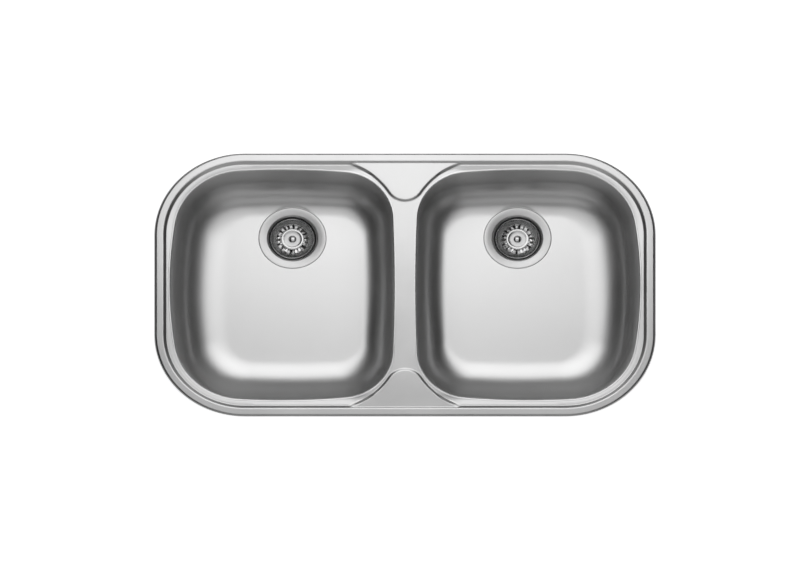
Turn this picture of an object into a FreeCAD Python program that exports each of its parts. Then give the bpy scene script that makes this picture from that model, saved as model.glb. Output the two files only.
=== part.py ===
import FreeCAD, Part
import math
import os
import Sketcher

# Inset double-bowl kitchen sink in stainless sheet, with two basket wastes and its worktop clips.
# Frame: the origin is the middle of the worktop's top face, +X right, +Y back, +Z up.

SIZES = (
    ("sink_length", 860.0, "overall length, left to right"),
    ("sink_depth", 500.0, "overall depth, front to back"),
    ("rim_corner", 155.0, "outer corner radius of the rim"),
    ("sheet", 1.0, "thickness of the stainless sheet"),
    ("rim_top", 5.5, "height of the rim above the worktop"),
    ("rim_round", 5.0, "rounding of the rim's outer edge"),
    ("band_inset", 16.0, "outer edge to the top of the sloped step"),
    ("step_slope", 55.0, "lean of the step from upright, degrees"),
    ("ledge_top", 1.0, "height of the ledge and the divider"),
    ("platform_top", 3.5, "height of the triangular platforms"),
    ("platform_slope", 50.0, "lean of the platforms' sides, degrees"),
    ("platform_arc", 128.0, "radius of the platforms' hollow sides"),
    ("platform_nose", 35.0, "radius of the platforms' noses"),
    ("platform_side", 30.7, "mouth corner's centre to the hollow side's centre, outwards"),
    ("platform_set", 21.75, "mouth corner's centre to the hollow side's centre, towards the middle"),
    ("side_margin", 26.6, "rim's outer edge to the bowl mouth, left and right"),
    ("end_margin", 31.0, "rim's outer edge to the bowl mouth, front and back"),
    ("divider_half", 18.3, "half the divider's width between the mouths"),
    ("bow_outer", 770.0, "bowed radius of the mouth's outer side"),
    ("bow_inner", 3200.0, "bowed radius of the mouth's inner side"),
    ("bow_end", 1200.0, "bowed radius of the mouth's front and back"),
    ("corner_outer", 117.0, "mouth corner radius, outer side"),
    ("corner_inner", 90.0, "mouth corner radius, divider side"),
    ("lip", 2.0, "width of the bowl's flat lip outside the mouth"),
    ("roll", 5.5, "radius of the rolled mouth edge"),
    ("roll_in", 4.0, "mouth line to the top of the wall"),
    ("bowl_depth", 170.0, "depth of each bowl below the ledge"),
    ("draft_outer", 7.0, "draft of the bowls' outer walls, degrees"),
    ("draft_inner", 1.2, "draft of the bowls' walls at the divider, degrees"),
    ("draft_end", 4.5, "draft of the bowls' front and back walls, degrees"),
    ("floor_round", 62.0, "radius between wall and floor"),
    ("drain_shift", 17.85, "drain axis from the bowl's middle, towards the divider"),
    ("drain_setback", 114.0, "drain axis in front of the mouth's back edge"),
    ("seat_radius", 58.0, "radius of the pressed drain seat"),
    ("seat_drop", 4.0, "depth of the pressed drain seat"),
    ("drain_radius", 45.0, "radius of the hole in the bowl"),
    ("flange_radius", 57.0, "strainer flange radius"),
    ("cup_sheet", 1.2, "strainer sheet thickness"),
    ("cup_mouth", 41.5, "strainer mouth radius"),
    ("cup_bore", 37.3, "strainer radius below the shoulder"),
    ("shoulder", 17.0, "strainer shoulder below the bowl's floor"),
    ("cup_depth", 52.0, "strainer depth below the bowl's floor"),
    ("gasket", 2.0, "gasket thickness"),
    ("dish_radius", 37.0, "basket dish radius"),
    ("dish_top", 12.0, "basket dish edge below the bowl's floor"),
    ("dish_depth", 29.0, "basket dish underside below the bowl's floor"),
    ("dish_foot", 28.5, "basket dish floor radius"),
    ("slot_count", 18, "slots round the dish"),
    ("slot_width", 3.4, "width of a slot"),
    ("seal_radius", 41.0, "basket seal radius"),
    ("seal_height", 4.0, "basket seal height"),
    ("knob_radius", 19.3, "pull knob radius"),
    ("knob_top", 19.0, "knob edge below the bowl's floor"),
    ("stem_radius", 3.0, "stem and centre screw radius"),
    ("outlet_radius", 23.9, "waste outlet radius over the thread"),
    ("outlet_bore", 20.5, "waste outlet bore radius"),
    ("outlet_length", 22.0, "length of the outlet spigot"),
    ("waste_depth", 110.0, "outlet end below the bowl's floor"),
    ("waste_radius", 47.0, "waste body radius"),
    ("waste_wall", 3.0, "waste body wall thickness"),
    ("waste_cone", 18.0, "height of the waste body's cone"),
    ("waste_collar", 4.0, "thickness of the waste body's collar"),
    ("collar_reach", 6.0, "width of the waste body's collar"),
    ("hub_radius", 9.0, "waste hub radius"),
    ("hub_height", 12.0, "waste hub height"),
    ("hub_arm", 3.0, "thickness of the hub's arms"),
    ("insert_width", 11.0, "insert nut across its flats"),
    ("pad_length", 150.0, "sound pad length"),
    ("pad_width", 110.0, "sound pad width"),
    ("pad_thick", 3.0, "sound pad thickness"),
    ("pad_corner", 12.0, "sound pad corner radius"),
    ("strip_inset", 5.0, "outer edge to the rim seal"),
    ("strip_width", 4.5, "rim seal width"),
    ("rail_length", 200.0, "clip rail length"),
    ("rail_inset", 22.6, "rim's outer edge to the clip rail's web"),
    ("rail_foot", 5.4, "width of the rail's welded foot"),
    ("rail_shelf", 10.6, "width of the rail's shelf"),
    ("rail_sheet", 1.2, "clip rail thickness"),
    ("rail_drop", 15.0, "clip rail height"),
    ("clip_inset", 17.4, "rim's outer edge to the clip bolts' axes"),
    ("clip_pitch", 140.0, "distance between two bolts of a rail"),
    ("bolt_radius", 2.5, "clip bolt radius"),
    ("bolt_nut", 8.0, "clip nut across its flats"),
    ("bolt_nut_height", 4.0, "clip nut height"),
    ("bolt_reach", 62.0, "clip bolt end below the worktop's top"),
    ("claw_level", 46.0, "claw underside below the worktop's top"),
    ("claw_length", 40.0, "claw arm length"),
    ("claw_width", 12.0, "claw arm width"),
    ("claw_sheet", 2.0, "claw thickness"),
    ("claw_tooth", 5.0, "height of the claw's upturned tooth"),
)

doc = FreeCAD.newDocument("kitchen_sink")
dims = doc.addObject("Spreadsheet::Sheet", "dims")


class Size:
    """A length with its value now and the sheet formula that drives it."""

    def __init__(self, value, formula):
        self.value = float(value)
        self.formula = formula

    def __add__(self, other):
        other = as_size(other)
        return Size(self.value + other.value, "(%s + %s)" % (self.formula, other.formula))

    def __radd__(self, other):
        return as_size(other) + self

    def __sub__(self, other):
        other = as_size(other)
        return Size(self.value - other.value, "(%s - %s)" % (self.formula, other.formula))

    def __rsub__(self, other):
        return as_size(other) - self

    def __mul__(self, other):
        other = as_size(other)
        return Size(self.value * other.value, "(%s * %s)" % (self.formula, other.formula))

    def __rmul__(self, other):
        return as_size(other) * self

    def __truediv__(self, other):
        other = as_size(other)
        return Size(self.value / other.value, "(%s / %s)" % (self.formula, other.formula))

    def __neg__(self):
        return as_size(0) - self


def as_size(number):
    """A plain number as a fixed size."""
    if isinstance(number, Size):
        return number
    return Size(number, repr(float(number)))


def tangent(angle):
    """Run over rise of a lean given in degrees."""
    return Size(math.tan(math.radians(angle.value)), "tan(%s * 1 deg)" % angle.formula)


class Dimensions:
    """The sheet's rows and what follows from them, as sizes by their names."""


def fill_sheet():
    """Write the driving sizes into the sheet and return them."""
    table = Dimensions()
    for row, (alias, value, note) in enumerate(SIZES, start=1):
        dims.set("A%d" % row, note)
        dims.set("B%d" % row, str(value))
        dims.setAlias("B%d" % row, alias)
        setattr(table, alias, Size(value, "dims." + alias))
    table.mouth_outer = table.sink_length / 2 - table.side_margin
    table.mouth_inner = table.divider_half
    table.mouth_half = table.sink_depth / 2 - table.end_margin
    table.mouth_middle = (table.mouth_outer + table.mouth_inner) / 2
    table.drain_x = table.mouth_middle - table.drain_shift
    table.drain_y = table.mouth_half - table.drain_setback
    table.rail_line = table.sink_depth / 2 - table.rail_inset
    table.clip_line = table.sink_depth / 2 - table.clip_inset
    doc.recompute()
    return table


D = fill_sheet()
pieces = []


def bind(thing, prop, size):
    """Drive one property of an object from the sheet."""
    thing.setExpression(prop, as_size(size).formula)


def keep(thing):
    """Count an object as one of the sink's pieces."""
    thing.Label = thing.Name
    pieces.append(thing)
    return thing


def new_body(name):
    return doc.addObject("PartDesign::Body", name)


def place(thing, x=0, y=0, z=0, turn=0):
    """Put a piece at a point of the sink, turned about the upright."""
    axis = FreeCAD.Vector(0, 0, 1)
    at = FreeCAD.Vector(as_size(x).value, as_size(y).value, as_size(z).value)
    thing.Placement = FreeCAD.Placement(at, FreeCAD.Rotation(axis, turn))
    for letter, size in (("x", x), ("y", y), ("z", z)):
        bind(thing, "Placement.Base." + letter, size)
    return thing


def new_sketch(body, name, plane="XY_Plane", lift=0):
    """An empty sketch on one of the body's own planes, lifted off it."""
    sketch = body.newObject("Sketcher::SketchObject", name)
    for feature in body.Origin.OriginFeatures:
        if feature.Role == plane:
            sketch.AttachmentSupport = [(feature, "")]
    sketch.MapMode = "FlatFace"
    bind(sketch, "AttachmentOffset.Base.z", lift)
    return sketch


def add_rule(sketch, *rule):
    return sketch.addConstraint(Sketcher.Constraint(*rule))


def sized_rule(sketch, size, *rule):
    """A dimension in a sketch, driven from the sheet."""
    index = sketch.addConstraint(Sketcher.Constraint(*rule, size.value))
    name = "d%d" % index
    sketch.renameConstraint(index, name)
    bind(sketch, "Constraints." + name, size)


def pin(sketch, line, end, x, y):
    """Fix a point of a sketch by its distances from the origin."""
    for rule, axis, size in (("DistanceX", -2, as_size(x)), ("DistanceY", -1, as_size(y))):
        if abs(size.value) < 1e-9:
            add_rule(sketch, "PointOnObject", line, end, axis)
        elif size.value > 0:
            sized_rule(sketch, size, rule, -1, 1, line, end)
        else:
            sized_rule(sketch, -size, rule, line, end, -1, 1)


def vector(x, y):
    return FreeCAD.Vector(as_size(x).value, as_size(y).value, 0)


def add_polygon(sketch, corners):
    """A closed outline of straight lines through the given corners."""
    points = [vector(x, y) for x, y in corners]
    count = len(points)
    first = sketch.GeometryCount
    for index in range(count):
        sketch.addGeometry(Part.LineSegment(points[index], points[(index + 1) % count]), False)
    for index in range(count):
        add_rule(sketch, "Coincident", first + index, 2, first + (index + 1) % count, 1)
    for index, (x, y) in enumerate(corners):
        pin(sketch, first + index, 1, x, y)


def add_circle(sketch, x, y, radius):
    """A circle about a point, both driven from the sheet."""
    radius = as_size(radius)
    circle = Part.Circle(vector(x, y), FreeCAD.Vector(0, 0, 1), radius.value)
    index = sketch.addGeometry(circle, False)
    sized_rule(sketch, radius, "Radius", index)
    pin(sketch, index, 3, x, y)


def arc_between(centre, radius, start, end):
    """A counter-clockwise arc about a centre from one direction to another."""
    first = math.atan2(start.y - centre.y, start.x - centre.x)
    last = math.atan2(end.y - centre.y, end.x - centre.x)
    if last < first:
        last += 2 * math.pi
    circle = Part.Circle(centre, FreeCAD.Vector(0, 0, 1), radius)
    return Part.ArcOfCircle(circle, first, last)


def add_rounded_box(sketch, half_x, half_y, corner, mid_x=0, mid_y=0):
    """A rectangle with four round corners about a middle."""
    half_x, half_y, corner = as_size(half_x), as_size(half_y), as_size(corner)
    first = sketch.GeometryCount
    reach = corner.value
    arcs = []
    for sign_x, sign_y in ((1, 1), (-1, 1), (-1, -1), (1, -1)):
        x = mid_x + sign_x * (half_x - corner)
        y = mid_y + sign_y * (half_y - corner)
        middle = vector(x, y)
        side = FreeCAD.Vector(sign_x * reach, 0, 0)
        end = FreeCAD.Vector(0, sign_y * reach, 0)
        start, stop = (side, end) if sign_x * sign_y > 0 else (end, side)
        arcs.append((x, y, middle, middle + start, middle + stop))
    for x, y, middle, start, stop in arcs:
        sketch.addGeometry(arc_between(middle, reach, start, stop), False)
    for index in range(4):
        line = Part.LineSegment(arcs[index][4], arcs[(index + 1) % 4][3])
        sketch.addGeometry(line, False)
    for index in range(4):
        add_rule(sketch, "Tangent", first + index, 2, first + 4 + index, 1)
        add_rule(sketch, "Tangent", first + 4 + index, 2, first + (index + 1) % 4, 1)
    for index, (x, y, middle, start, stop) in enumerate(arcs):
        sized_rule(sketch, corner, "Radius", first + index)
        pin(sketch, first + index, 3, x, y)


def add_rim_outline(sketch, inset):
    """The rim's outline moved inwards by an inset."""
    add_rounded_box(sketch, D.sink_length / 2 - inset, D.sink_depth / 2 - inset, D.rim_corner - inset)


def meeting_point(first, first_reach, second, second_reach, towards):
    """Where two circles meet, the crossing nearest to a point."""
    gap = second - first
    span = gap.Length
    along = (first_reach ** 2 - second_reach ** 2 + span ** 2) / (2 * span)
    across = math.sqrt(max(first_reach ** 2 - along ** 2, 0))
    unit = gap * (1 / span)
    side = FreeCAD.Vector(-unit.y, unit.x, 0)
    foot = first + unit * along
    crossings = (foot + side * across, foot - side * across)
    return min(crossings, key=lambda point: (point - towards).Length)


def add_mouth_outline(sketch, grow, depth=0):
    """The right bowl's outline: four bowed sides joined by four corner arcs, grown outwards at the mouth.

    Further down each side has come in by its own draft, and a corner by the mean of its two sides.
    """
    drafts = (D.draft_outer, D.draft_end, D.draft_inner, D.draft_end)
    drawn = [grow - depth * tangent(draft) for draft in drafts]
    middle = D.mouth_middle
    bend = D.mouth_half - D.bow_end
    sides = (
        (D.mouth_outer - D.bow_outer, as_size(0), D.bow_outer, vector(D.mouth_outer, 0)),
        (middle, bend, D.bow_end, vector(middle, D.mouth_half)),
        (D.mouth_inner + D.bow_inner, as_size(0), D.bow_inner, vector(D.mouth_inner, 0)),
        (middle, -bend, D.bow_end, vector(middle, -D.mouth_half)),
    )
    corners = (D.corner_outer, D.corner_inner, D.corner_inner, D.corner_outer)
    count = len(sides)
    first = sketch.GeometryCount
    joints = []
    for index in range(count):
        x, y, bow, near = sides[index]
        next_x, next_y, next_bow, next_near = sides[(index + 1) % count]
        side_bow = bow + drawn[index]
        end_bow = next_bow + drawn[(index + 1) % count]
        corner = corners[index] + (drawn[index] + drawn[(index + 1) % count]) / 2
        reach = side_bow.value - corner.value
        next_reach = end_bow.value - corner.value
        start, end = vector(x, y), vector(next_x, next_y)
        centre = meeting_point(start, reach, end, next_reach, (near + next_near) * 0.5)
        leave = start + (centre - start) * (side_bow.value / reach)
        arrive = end + (centre - end) * (end_bow.value / next_reach)
        joints.append((centre, leave, arrive, corner))
    for index, (x, y, bow, near) in enumerate(sides):
        centre, leave, arrive, corner = joints[index]
        before = joints[index - 1][2]
        sketch.addGeometry(arc_between(vector(x, y), (bow + drawn[index]).value, before, leave), False)
        sketch.addGeometry(arc_between(centre, corner.value, leave, arrive), False)
    total = 2 * count
    for index in range(total):
        add_rule(sketch, "Tangent", first + index, 2, first + (index + 1) % total, 1)
    for index, (x, y, bow, near) in enumerate(sides):
        pin(sketch, first + 2 * index, 3, x, y)
        sized_rule(sketch, bow + drawn[index], "Radius", first + 2 * index)
        sized_rule(sketch, joints[index][3], "Radius", first + 2 * index + 1)


def add_platform_outline(sketch, side, grow, back):
    """A triangular platform: two hollow sides and a round nose, closed behind at a given line."""
    hollow = D.platform_arc - grow
    nose = D.platform_nose + grow
    centre_x = D.mouth_inner + D.corner_inner + D.platform_side
    centre_y = D.mouth_half - D.corner_inner - D.platform_set
    rise = D.platform_arc + D.platform_nose
    gap = Size(
        math.sqrt(rise.value ** 2 - centre_x.value ** 2),
        "sqrt(%s ^ 2 - %s ^ 2)" % (rise.formula, centre_x.formula),
    )
    nose_y = centre_y + gap
    tip = vector(0, side * nose_y)
    right = vector(centre_x, side * centre_y)
    left = vector(-centre_x, side * centre_y)
    touch_right = right + (tip - right) * (hollow.value / rise.value)
    touch_left = left + (tip - left) * (hollow.value / rise.value)
    top_right = right + FreeCAD.Vector(0, side * hollow.value, 0)
    top_left = left + FreeCAD.Vector(0, side * hollow.value, 0)
    far_right = vector(centre_x, side * back)
    far_left = vector(-centre_x, side * back)
    first = sketch.GeometryCount
    if side > 0:
        sketch.addGeometry(arc_between(tip, nose.value, touch_left, touch_right), False)
        sketch.addGeometry(arc_between(right, hollow.value, top_right, touch_right), False)
        sketch.addGeometry(arc_between(left, hollow.value, touch_left, top_left), False)
        nose_ends, right_ends, left_ends = (2, 1), (2, 1), (1, 2)
    else:
        sketch.addGeometry(arc_between(tip, nose.value, touch_right, touch_left), False)
        sketch.addGeometry(arc_between(right, hollow.value, touch_right, top_right), False)
        sketch.addGeometry(arc_between(left, hollow.value, top_left, touch_left), False)
        nose_ends, right_ends, left_ends = (1, 2), (1, 2), (2, 1)
    sketch.addGeometry(Part.LineSegment(top_right, far_right), False)
    sketch.addGeometry(Part.LineSegment(far_right, far_left), False)
    sketch.addGeometry(Part.LineSegment(far_left, top_left), False)
    add_rule(sketch, "Tangent", first, nose_ends[0], first + 1, right_ends[0])
    add_rule(sketch, "Tangent", first, nose_ends[1], first + 2, left_ends[0])
    add_rule(sketch, "Coincident", first + 1, right_ends[1], first + 3, 1)
    add_rule(sketch, "Coincident", first + 3, 2, first + 4, 1)
    add_rule(sketch, "Coincident", first + 4, 2, first + 5, 1)
    add_rule(sketch, "Coincident", first + 5, 2, first + 2, left_ends[1])
    add_rule(sketch, "Vertical", first + 3)
    add_rule(sketch, "Vertical", first + 5)
    pin(sketch, first + 1, 3, centre_x, side * centre_y)
    pin(sketch, first + 2, 3, -centre_x, side * centre_y)
    sized_rule(sketch, hollow, "Radius", first + 1)
    sized_rule(sketch, hollow, "Radius", first + 2)
    sized_rule(sketch, nose, "Radius", first)
    pin(sketch, first + 4, 1, centre_x, side * back)
    pin(sketch, first + 4, 2, -centre_x, side * back)


def pad(body, sketch, length, down=False, lean=None):
    """Raise a sketch into a solid, leaning inwards where asked."""
    feature = body.newObject("PartDesign::Pad", sketch.Name + "_pad")
    feature.Profile = sketch
    feature.Reversed = down
    bind(feature, "Length", length)
    if lean is not None:
        bind(feature, "TaperAngle", -lean)
    sketch.Visibility = False
    doc.recompute()
    return feature


def pocket(body, sketch, length, up=False, lean=None):
    """Cut a sketch into the solid and make sure that it cut something."""
    before = body.Shape.Volume
    feature = body.newObject("PartDesign::Pocket", sketch.Name + "_cut")
    feature.Profile = sketch
    feature.Reversed = up
    bind(feature, "Length", length)
    if lean is not None:
        bind(feature, "TaperAngle", -lean)
    doc.recompute()
    if not body.Shape.Volume < before:
        raise RuntimeError("%s cuts nothing" % feature.Name)
    return feature


def revolve(body, sketch):
    """Turn a half section round the body's own upright."""
    feature = body.newObject("PartDesign::Revolution", sketch.Name + "_turn")
    feature.Profile = sketch
    feature.ReferenceAxis = (sketch, ["V_Axis"])
    feature.Angle = 360
    doc.recompute()
    return feature


def round_edges(body, name, radius, wanted):
    """Round those edges of a body that a test picks."""
    feature = body.Tip
    names = []
    for index, edge in enumerate(feature.Shape.Edges, start=1):
        if wanted(edge):
            names.append("Edge%d" % index)
    if not names:
        raise RuntimeError("%s finds no edge" % name)
    fillet = body.newObject("PartDesign::Fillet", name)
    fillet.Base = (feature, names)
    bind(fillet, "Radius", radius)
    doc.recompute()
    return fillet


def lies_at(level, slack=0.01):
    """A test for edges that lie flat at one height."""
    height = as_size(level).value
    return lambda edge: abs(edge.BoundBox.ZMin - height) < slack and abs(edge.BoundBox.ZMax - height) < slack


def ring_at(radius, level):
    """A test for whole circles of one radius at one height."""
    flat = lies_at(level)
    reach = as_size(radius).value

    def test(edge):
        curve = edge.Curve
        return flat(edge) and hasattr(curve, "Radius") and abs(curve.Radius - reach) < 0.01

    return test


def turned_piece(name, section, x, y, z):
    """A round piece from its half section of radius and height pairs, on an upright axis."""
    body = new_body(name)
    sketch = new_sketch(body, name + "_section", "XZ_Plane")
    add_polygon(sketch, section)
    revolve(body, sketch)
    place(body, x, y, z)
    return keep(body)


def build_deck():
    """The pressed deck: a skin over the rim, the step, the ledge and the two platforms."""
    body = new_body("deck_form")
    outline = new_sketch(body, "rim_outline")
    add_rim_outline(outline, as_size(0))
    pad(body, outline, D.rim_top)
    round_edges(body, "rim_edge", D.rim_round, lies_at(D.rim_top))
    step = new_sketch(body, "step_outline", lift=D.rim_top)
    add_rim_outline(step, D.band_inset)
    pocket(body, step, D.rim_top - D.ledge_top, lean=D.step_slope)
    back = D.sink_depth / 2 - D.band_inset * 0.625
    for side, name in ((1, "back_platform"), (-1, "front_platform")):
        platform = new_sketch(body, name, lift=D.ledge_top)
        add_platform_outline(platform, side, as_size(0), back)
        pad(body, platform, D.platform_top - D.ledge_top, lean=D.platform_slope)
    mouth = new_sketch(body, "mouth_opening", lift=D.rim_top)
    add_mouth_outline(mouth, D.lip)
    cut = pocket(body, mouth, D.rim_top)
    twin = body.newObject("PartDesign::Mirrored", "twin_opening")
    twin.Originals = [cut]
    for feature in body.Origin.OriginFeatures:
        if feature.Role == "YZ_Plane":
            twin.MirrorPlane = (feature, [""])
    body.Tip = twin
    doc.recompute()
    inside = new_body("deck_hollow")
    wall = new_sketch(inside, "hollow_outline")
    add_rim_outline(wall, D.sheet)
    pad(inside, wall, D.rim_top - D.sheet)
    round_edges(inside, "hollow_edge", D.rim_round - D.sheet, lies_at(D.rim_top - D.sheet))
    core = new_sketch(inside, "core_outline", lift=D.rim_top - D.sheet)
    add_rim_outline(core, D.band_inset - 0.3 * D.sheet)
    pocket(inside, core, D.rim_top - D.sheet, lean=D.step_slope)
    for side, name in ((1, "back_hollow"), (-1, "front_hollow")):
        platform = new_sketch(inside, name)
        add_platform_outline(platform, side, -D.sheet, back)
        pad(inside, platform, D.platform_top - D.sheet, lean=D.platform_slope)
    deck = doc.addObject("Part::Cut", "deck")
    deck.Base = body
    deck.Tool = inside
    doc.recompute()
    keep(deck)


def inside_mouth(level, grow):
    """A test for edges at one height that lie within the mouth's outline, grown by an amount."""
    flat = lies_at(level)
    low = D.mouth_inner.value - grow.value - 0.1
    high = D.mouth_outer.value + grow.value + 0.1
    reach = D.mouth_half.value + grow.value + 0.1

    def test(edge):
        box = edge.BoundBox
        across = box.XMin > low and box.XMax < high
        return flat(edge) and across and box.YMax < reach and box.YMin > -reach

    return test


def bowl_form(name, plate, wall, depth, floor_round, roll):
    """A bucket hung from a flat plate: its wall leans in, its floor and the plate's corner are rounded."""
    body = new_body(name)
    low, high, plate_grow = plate
    top = new_sketch(body, name + "_plate", lift=low)
    add_mouth_outline(top, plate_grow)
    pad(body, top, high - low)
    brim = new_sketch(body, name + "_wall", lift=low)
    add_mouth_outline(brim, wall)
    foot = new_sketch(body, name + "_foot", lift=low - depth)
    add_mouth_outline(foot, wall, depth)
    bucket = body.newObject("PartDesign::AdditiveLoft", name + "_bucket")
    bucket.Profile = brim
    bucket.Sections = [foot]
    bucket.Ruled = True
    doc.recompute()
    round_edges(body, name + "_floor_round", floor_round, lies_at(low - depth))
    round_edges(body, name + "_roll", roll, inside_mouth(low, wall))
    return body


def build_bowls():
    """The right bowl, drawn from sheet with a rolled mouth and a pressed drain seat, and its mirrored twin."""
    floor = D.ledge_top - D.bowl_depth
    under = D.ledge_top - D.sheet
    skin = bowl_form(
        "bowl_skin",
        (under, D.ledge_top, D.lip),
        D.sheet - D.roll_in,
        D.bowl_depth,
        D.floor_round + D.sheet,
        D.roll - D.sheet,
    )
    boss = new_sketch(skin, "seat_boss", lift=floor - D.sheet - D.seat_drop)
    add_circle(boss, D.drain_x, D.drain_y, D.seat_radius + D.sheet)
    pad(skin, boss, D.seat_drop + 2 * D.sheet)
    cavity = bowl_form(
        "bowl_cavity",
        (D.ledge_top, D.ledge_top + 6, D.lip - 0.5),
        -D.roll_in,
        D.bowl_depth,
        D.floor_round,
        D.roll,
    )
    dish = new_sketch(cavity, "seat_dish", lift=floor - D.seat_drop)
    add_circle(dish, D.drain_x, D.drain_y, D.seat_radius)
    pad(cavity, dish, D.seat_drop + 8)
    hole = new_sketch(cavity, "drain_hole", lift=floor - D.seat_drop - 3 * D.sheet)
    add_circle(hole, D.drain_x, D.drain_y, D.drain_radius)
    pad(cavity, hole, D.seat_drop + 3 * D.sheet)
    bowl = doc.addObject("Part::Cut", "right_bowl")
    bowl.Base = skin
    bowl.Tool = cavity
    doc.recompute()
    keep(bowl)
    twin = doc.addObject("Part::Mirroring", "left_bowl")
    twin.Source = bowl
    twin.Base = FreeCAD.Vector(0, 0, 0)
    twin.Normal = FreeCAD.Vector(1, 0, 0)
    doc.recompute()
    keep(twin)


def build_rim_seal():
    """The foam strip between the rim and the worktop."""
    body = new_body("rim_seal")
    sketch = new_sketch(body, "strip_outline")
    add_rim_outline(sketch, D.strip_inset)
    add_rim_outline(sketch, D.strip_inset + D.strip_width)
    pad(body, sketch, D.rim_top - D.sheet)
    keep(body)


def build_sound_pad(name, sign):
    """A rubber pad stuck under a bowl's floor, in front of the drain."""
    body = new_body(name)
    sketch = new_sketch(body, name + "_outline")
    add_rounded_box(sketch, D.pad_length / 2, D.pad_width / 2, D.pad_corner)
    pad(body, sketch, D.pad_thick, down=True)
    place(body, sign * D.drain_x, -D.pad_width / 2, D.ledge_top - D.bowl_depth - D.sheet)
    keep(body)


def hexagon(sketch, width):
    """A hexagon about the origin, given across its flats."""
    reach = width / math.sqrt(3)
    half = width / 2
    add_polygon(
        sketch,
        (
            (reach, 0),
            (reach / 2, half),
            (-reach / 2, half),
            (-reach, 0),
            (-reach / 2, -half),
            (reach / 2, -half),
        ),
    )


def hex_nut(name, width, bore, height, x, y, z):
    """A plain hexagon nut standing on its lower face."""
    body = new_body(name)
    sketch = new_sketch(body, name + "_outline")
    hexagon(sketch, as_size(width))
    add_circle(sketch, 0, 0, bore)
    pad(body, sketch, as_size(height))
    return place(body, x, y, z)


def build_waste(hand, sign):
    """One basket waste: the fixed cup, gaskets and body, and the plug that lifts out."""
    x = sign * D.drain_x
    y = D.drain_y
    floor = D.ledge_top - D.bowl_depth
    sheet = D.cup_sheet
    seat = D.seat_drop
    brim = seat - D.gasket

    cup_low = D.cup_depth + sheet
    cup = turned_piece(
        hand + "_strainer_cup",
        (
            (D.stem_radius + 0.3, 0),
            (D.cup_bore + sheet, 0),
            (D.cup_bore + sheet, cup_low - D.shoulder - sheet),
            (D.cup_mouth + sheet, cup_low - D.shoulder - sheet),
            (D.cup_mouth + sheet, cup_low - 9.6),
            (D.cup_mouth + 2.7, cup_low - 4.5),
            (D.cup_mouth + 3.1, cup_low - brim),
            (D.flange_radius, cup_low - brim),
            (D.flange_radius, cup_low - brim + sheet),
            (D.flange_radius - 3, cup_low + 0.6),
            (D.cup_mouth + 5, cup_low + 0.6),
            (D.cup_mouth + 3.2, cup_low - 0.6),
            (D.cup_mouth + 1, cup_low - 4),
            (D.cup_mouth, cup_low - 9),
            (D.cup_mouth, cup_low - D.shoulder),
            (D.cup_bore, cup_low - D.shoulder),
            (D.cup_bore, sheet),
            (D.stem_radius + 0.3, sheet),
        ),
        x,
        y,
        floor - cup_low,
    )
    grate = new_sketch(cup, hand + "_grate_hole", lift=sheet)
    add_circle(grate, D.cup_bore * 0.6, 0, 7)
    spread(cup, pocket(cup, grate, 2 * sheet), 6)

    turned_piece(
        hand + "_flange_gasket",
        (
            (D.drain_radius + 1, 0),
            (D.flange_radius - 1, 0),
            (D.flange_radius - 1, D.gasket),
            (D.drain_radius + 1, D.gasket),
        ),
        x,
        y,
        floor - seat,
    )
    turned_piece(
        hand + "_body_gasket",
        (
            (D.drain_radius + 0.5, 0),
            (D.waste_radius + D.collar_reach, 0),
            (D.waste_radius + D.collar_reach, D.gasket),
            (D.drain_radius + 0.5, D.gasket),
        ),
        x,
        y,
        floor - seat - D.sheet - D.gasket,
    )

    low = D.waste_depth
    top = low - seat - D.sheet - D.gasket
    neck = D.outlet_length
    bore = D.waste_radius - D.waste_wall
    shoulder = neck + D.waste_cone
    collar = D.waste_radius + D.collar_reach
    waste = turned_piece(
        hand + "_waste_body",
        (
            (D.outlet_bore, 0),
            (D.outlet_radius, 0),
            (D.outlet_radius, neck),
            (D.waste_radius, shoulder),
            (D.waste_radius, top - D.waste_collar),
            (collar, top - D.waste_collar),
            (collar, top),
            (bore, top),
            (bore, shoulder + 1.5),
            (D.outlet_bore, neck + 1),
        ),
        x,
        y,
        floor - low,
    )
    hub_low = shoulder + 3
    arm = new_sketch(waste, hand + "_hub_arm", lift=hub_low + 1)
    half = D.hub_arm / 2
    inner, outer = D.hub_radius / 2, bore + D.waste_wall / 2
    add_polygon(arm, ((inner, -half), (outer, -half), (outer, half), (inner, half)))
    hub = new_sketch(waste, hand + "_hub", lift=hub_low)
    add_circle(hub, 0, 0, D.hub_radius)
    spread(waste, pad(waste, arm, 0.75 * D.hub_height), 3)
    pad(waste, hub, D.hub_height)
    hub_hole = new_sketch(waste, hand + "_hub_hole", lift=hub_low + D.hub_height)
    hexagon(hub_hole, D.insert_width)
    pocket(waste, hub_hole, D.hub_height)

    nut_level = floor - low + hub_low
    insert = hex_nut(hand + "_insert_nut", D.insert_width, D.stem_radius, D.hub_height, x, y, nut_level)
    keep(insert)

    reach = low - D.cup_depth - hub_low
    screw = turned_piece(
        hand + "_centre_screw",
        (
            (0, 0),
            (D.stem_radius - 0.05, 0),
            (D.stem_radius - 0.05, reach),
            (6, reach),
            (6, reach + 3.2),
            (0, reach + 3.2),
        ),
        x,
        y,
        floor - D.cup_depth - reach,
    )
    round_edges(screw, hand + "_screw_edge", as_size(1.2), ring_at(6, reach + 3.2))
    socket = new_sketch(screw, hand + "_socket", lift=reach + 3.2)
    hexagon(socket, as_size(4))
    pocket(screw, socket, as_size(2))

    build_plug(hand, x, y, floor)


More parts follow.
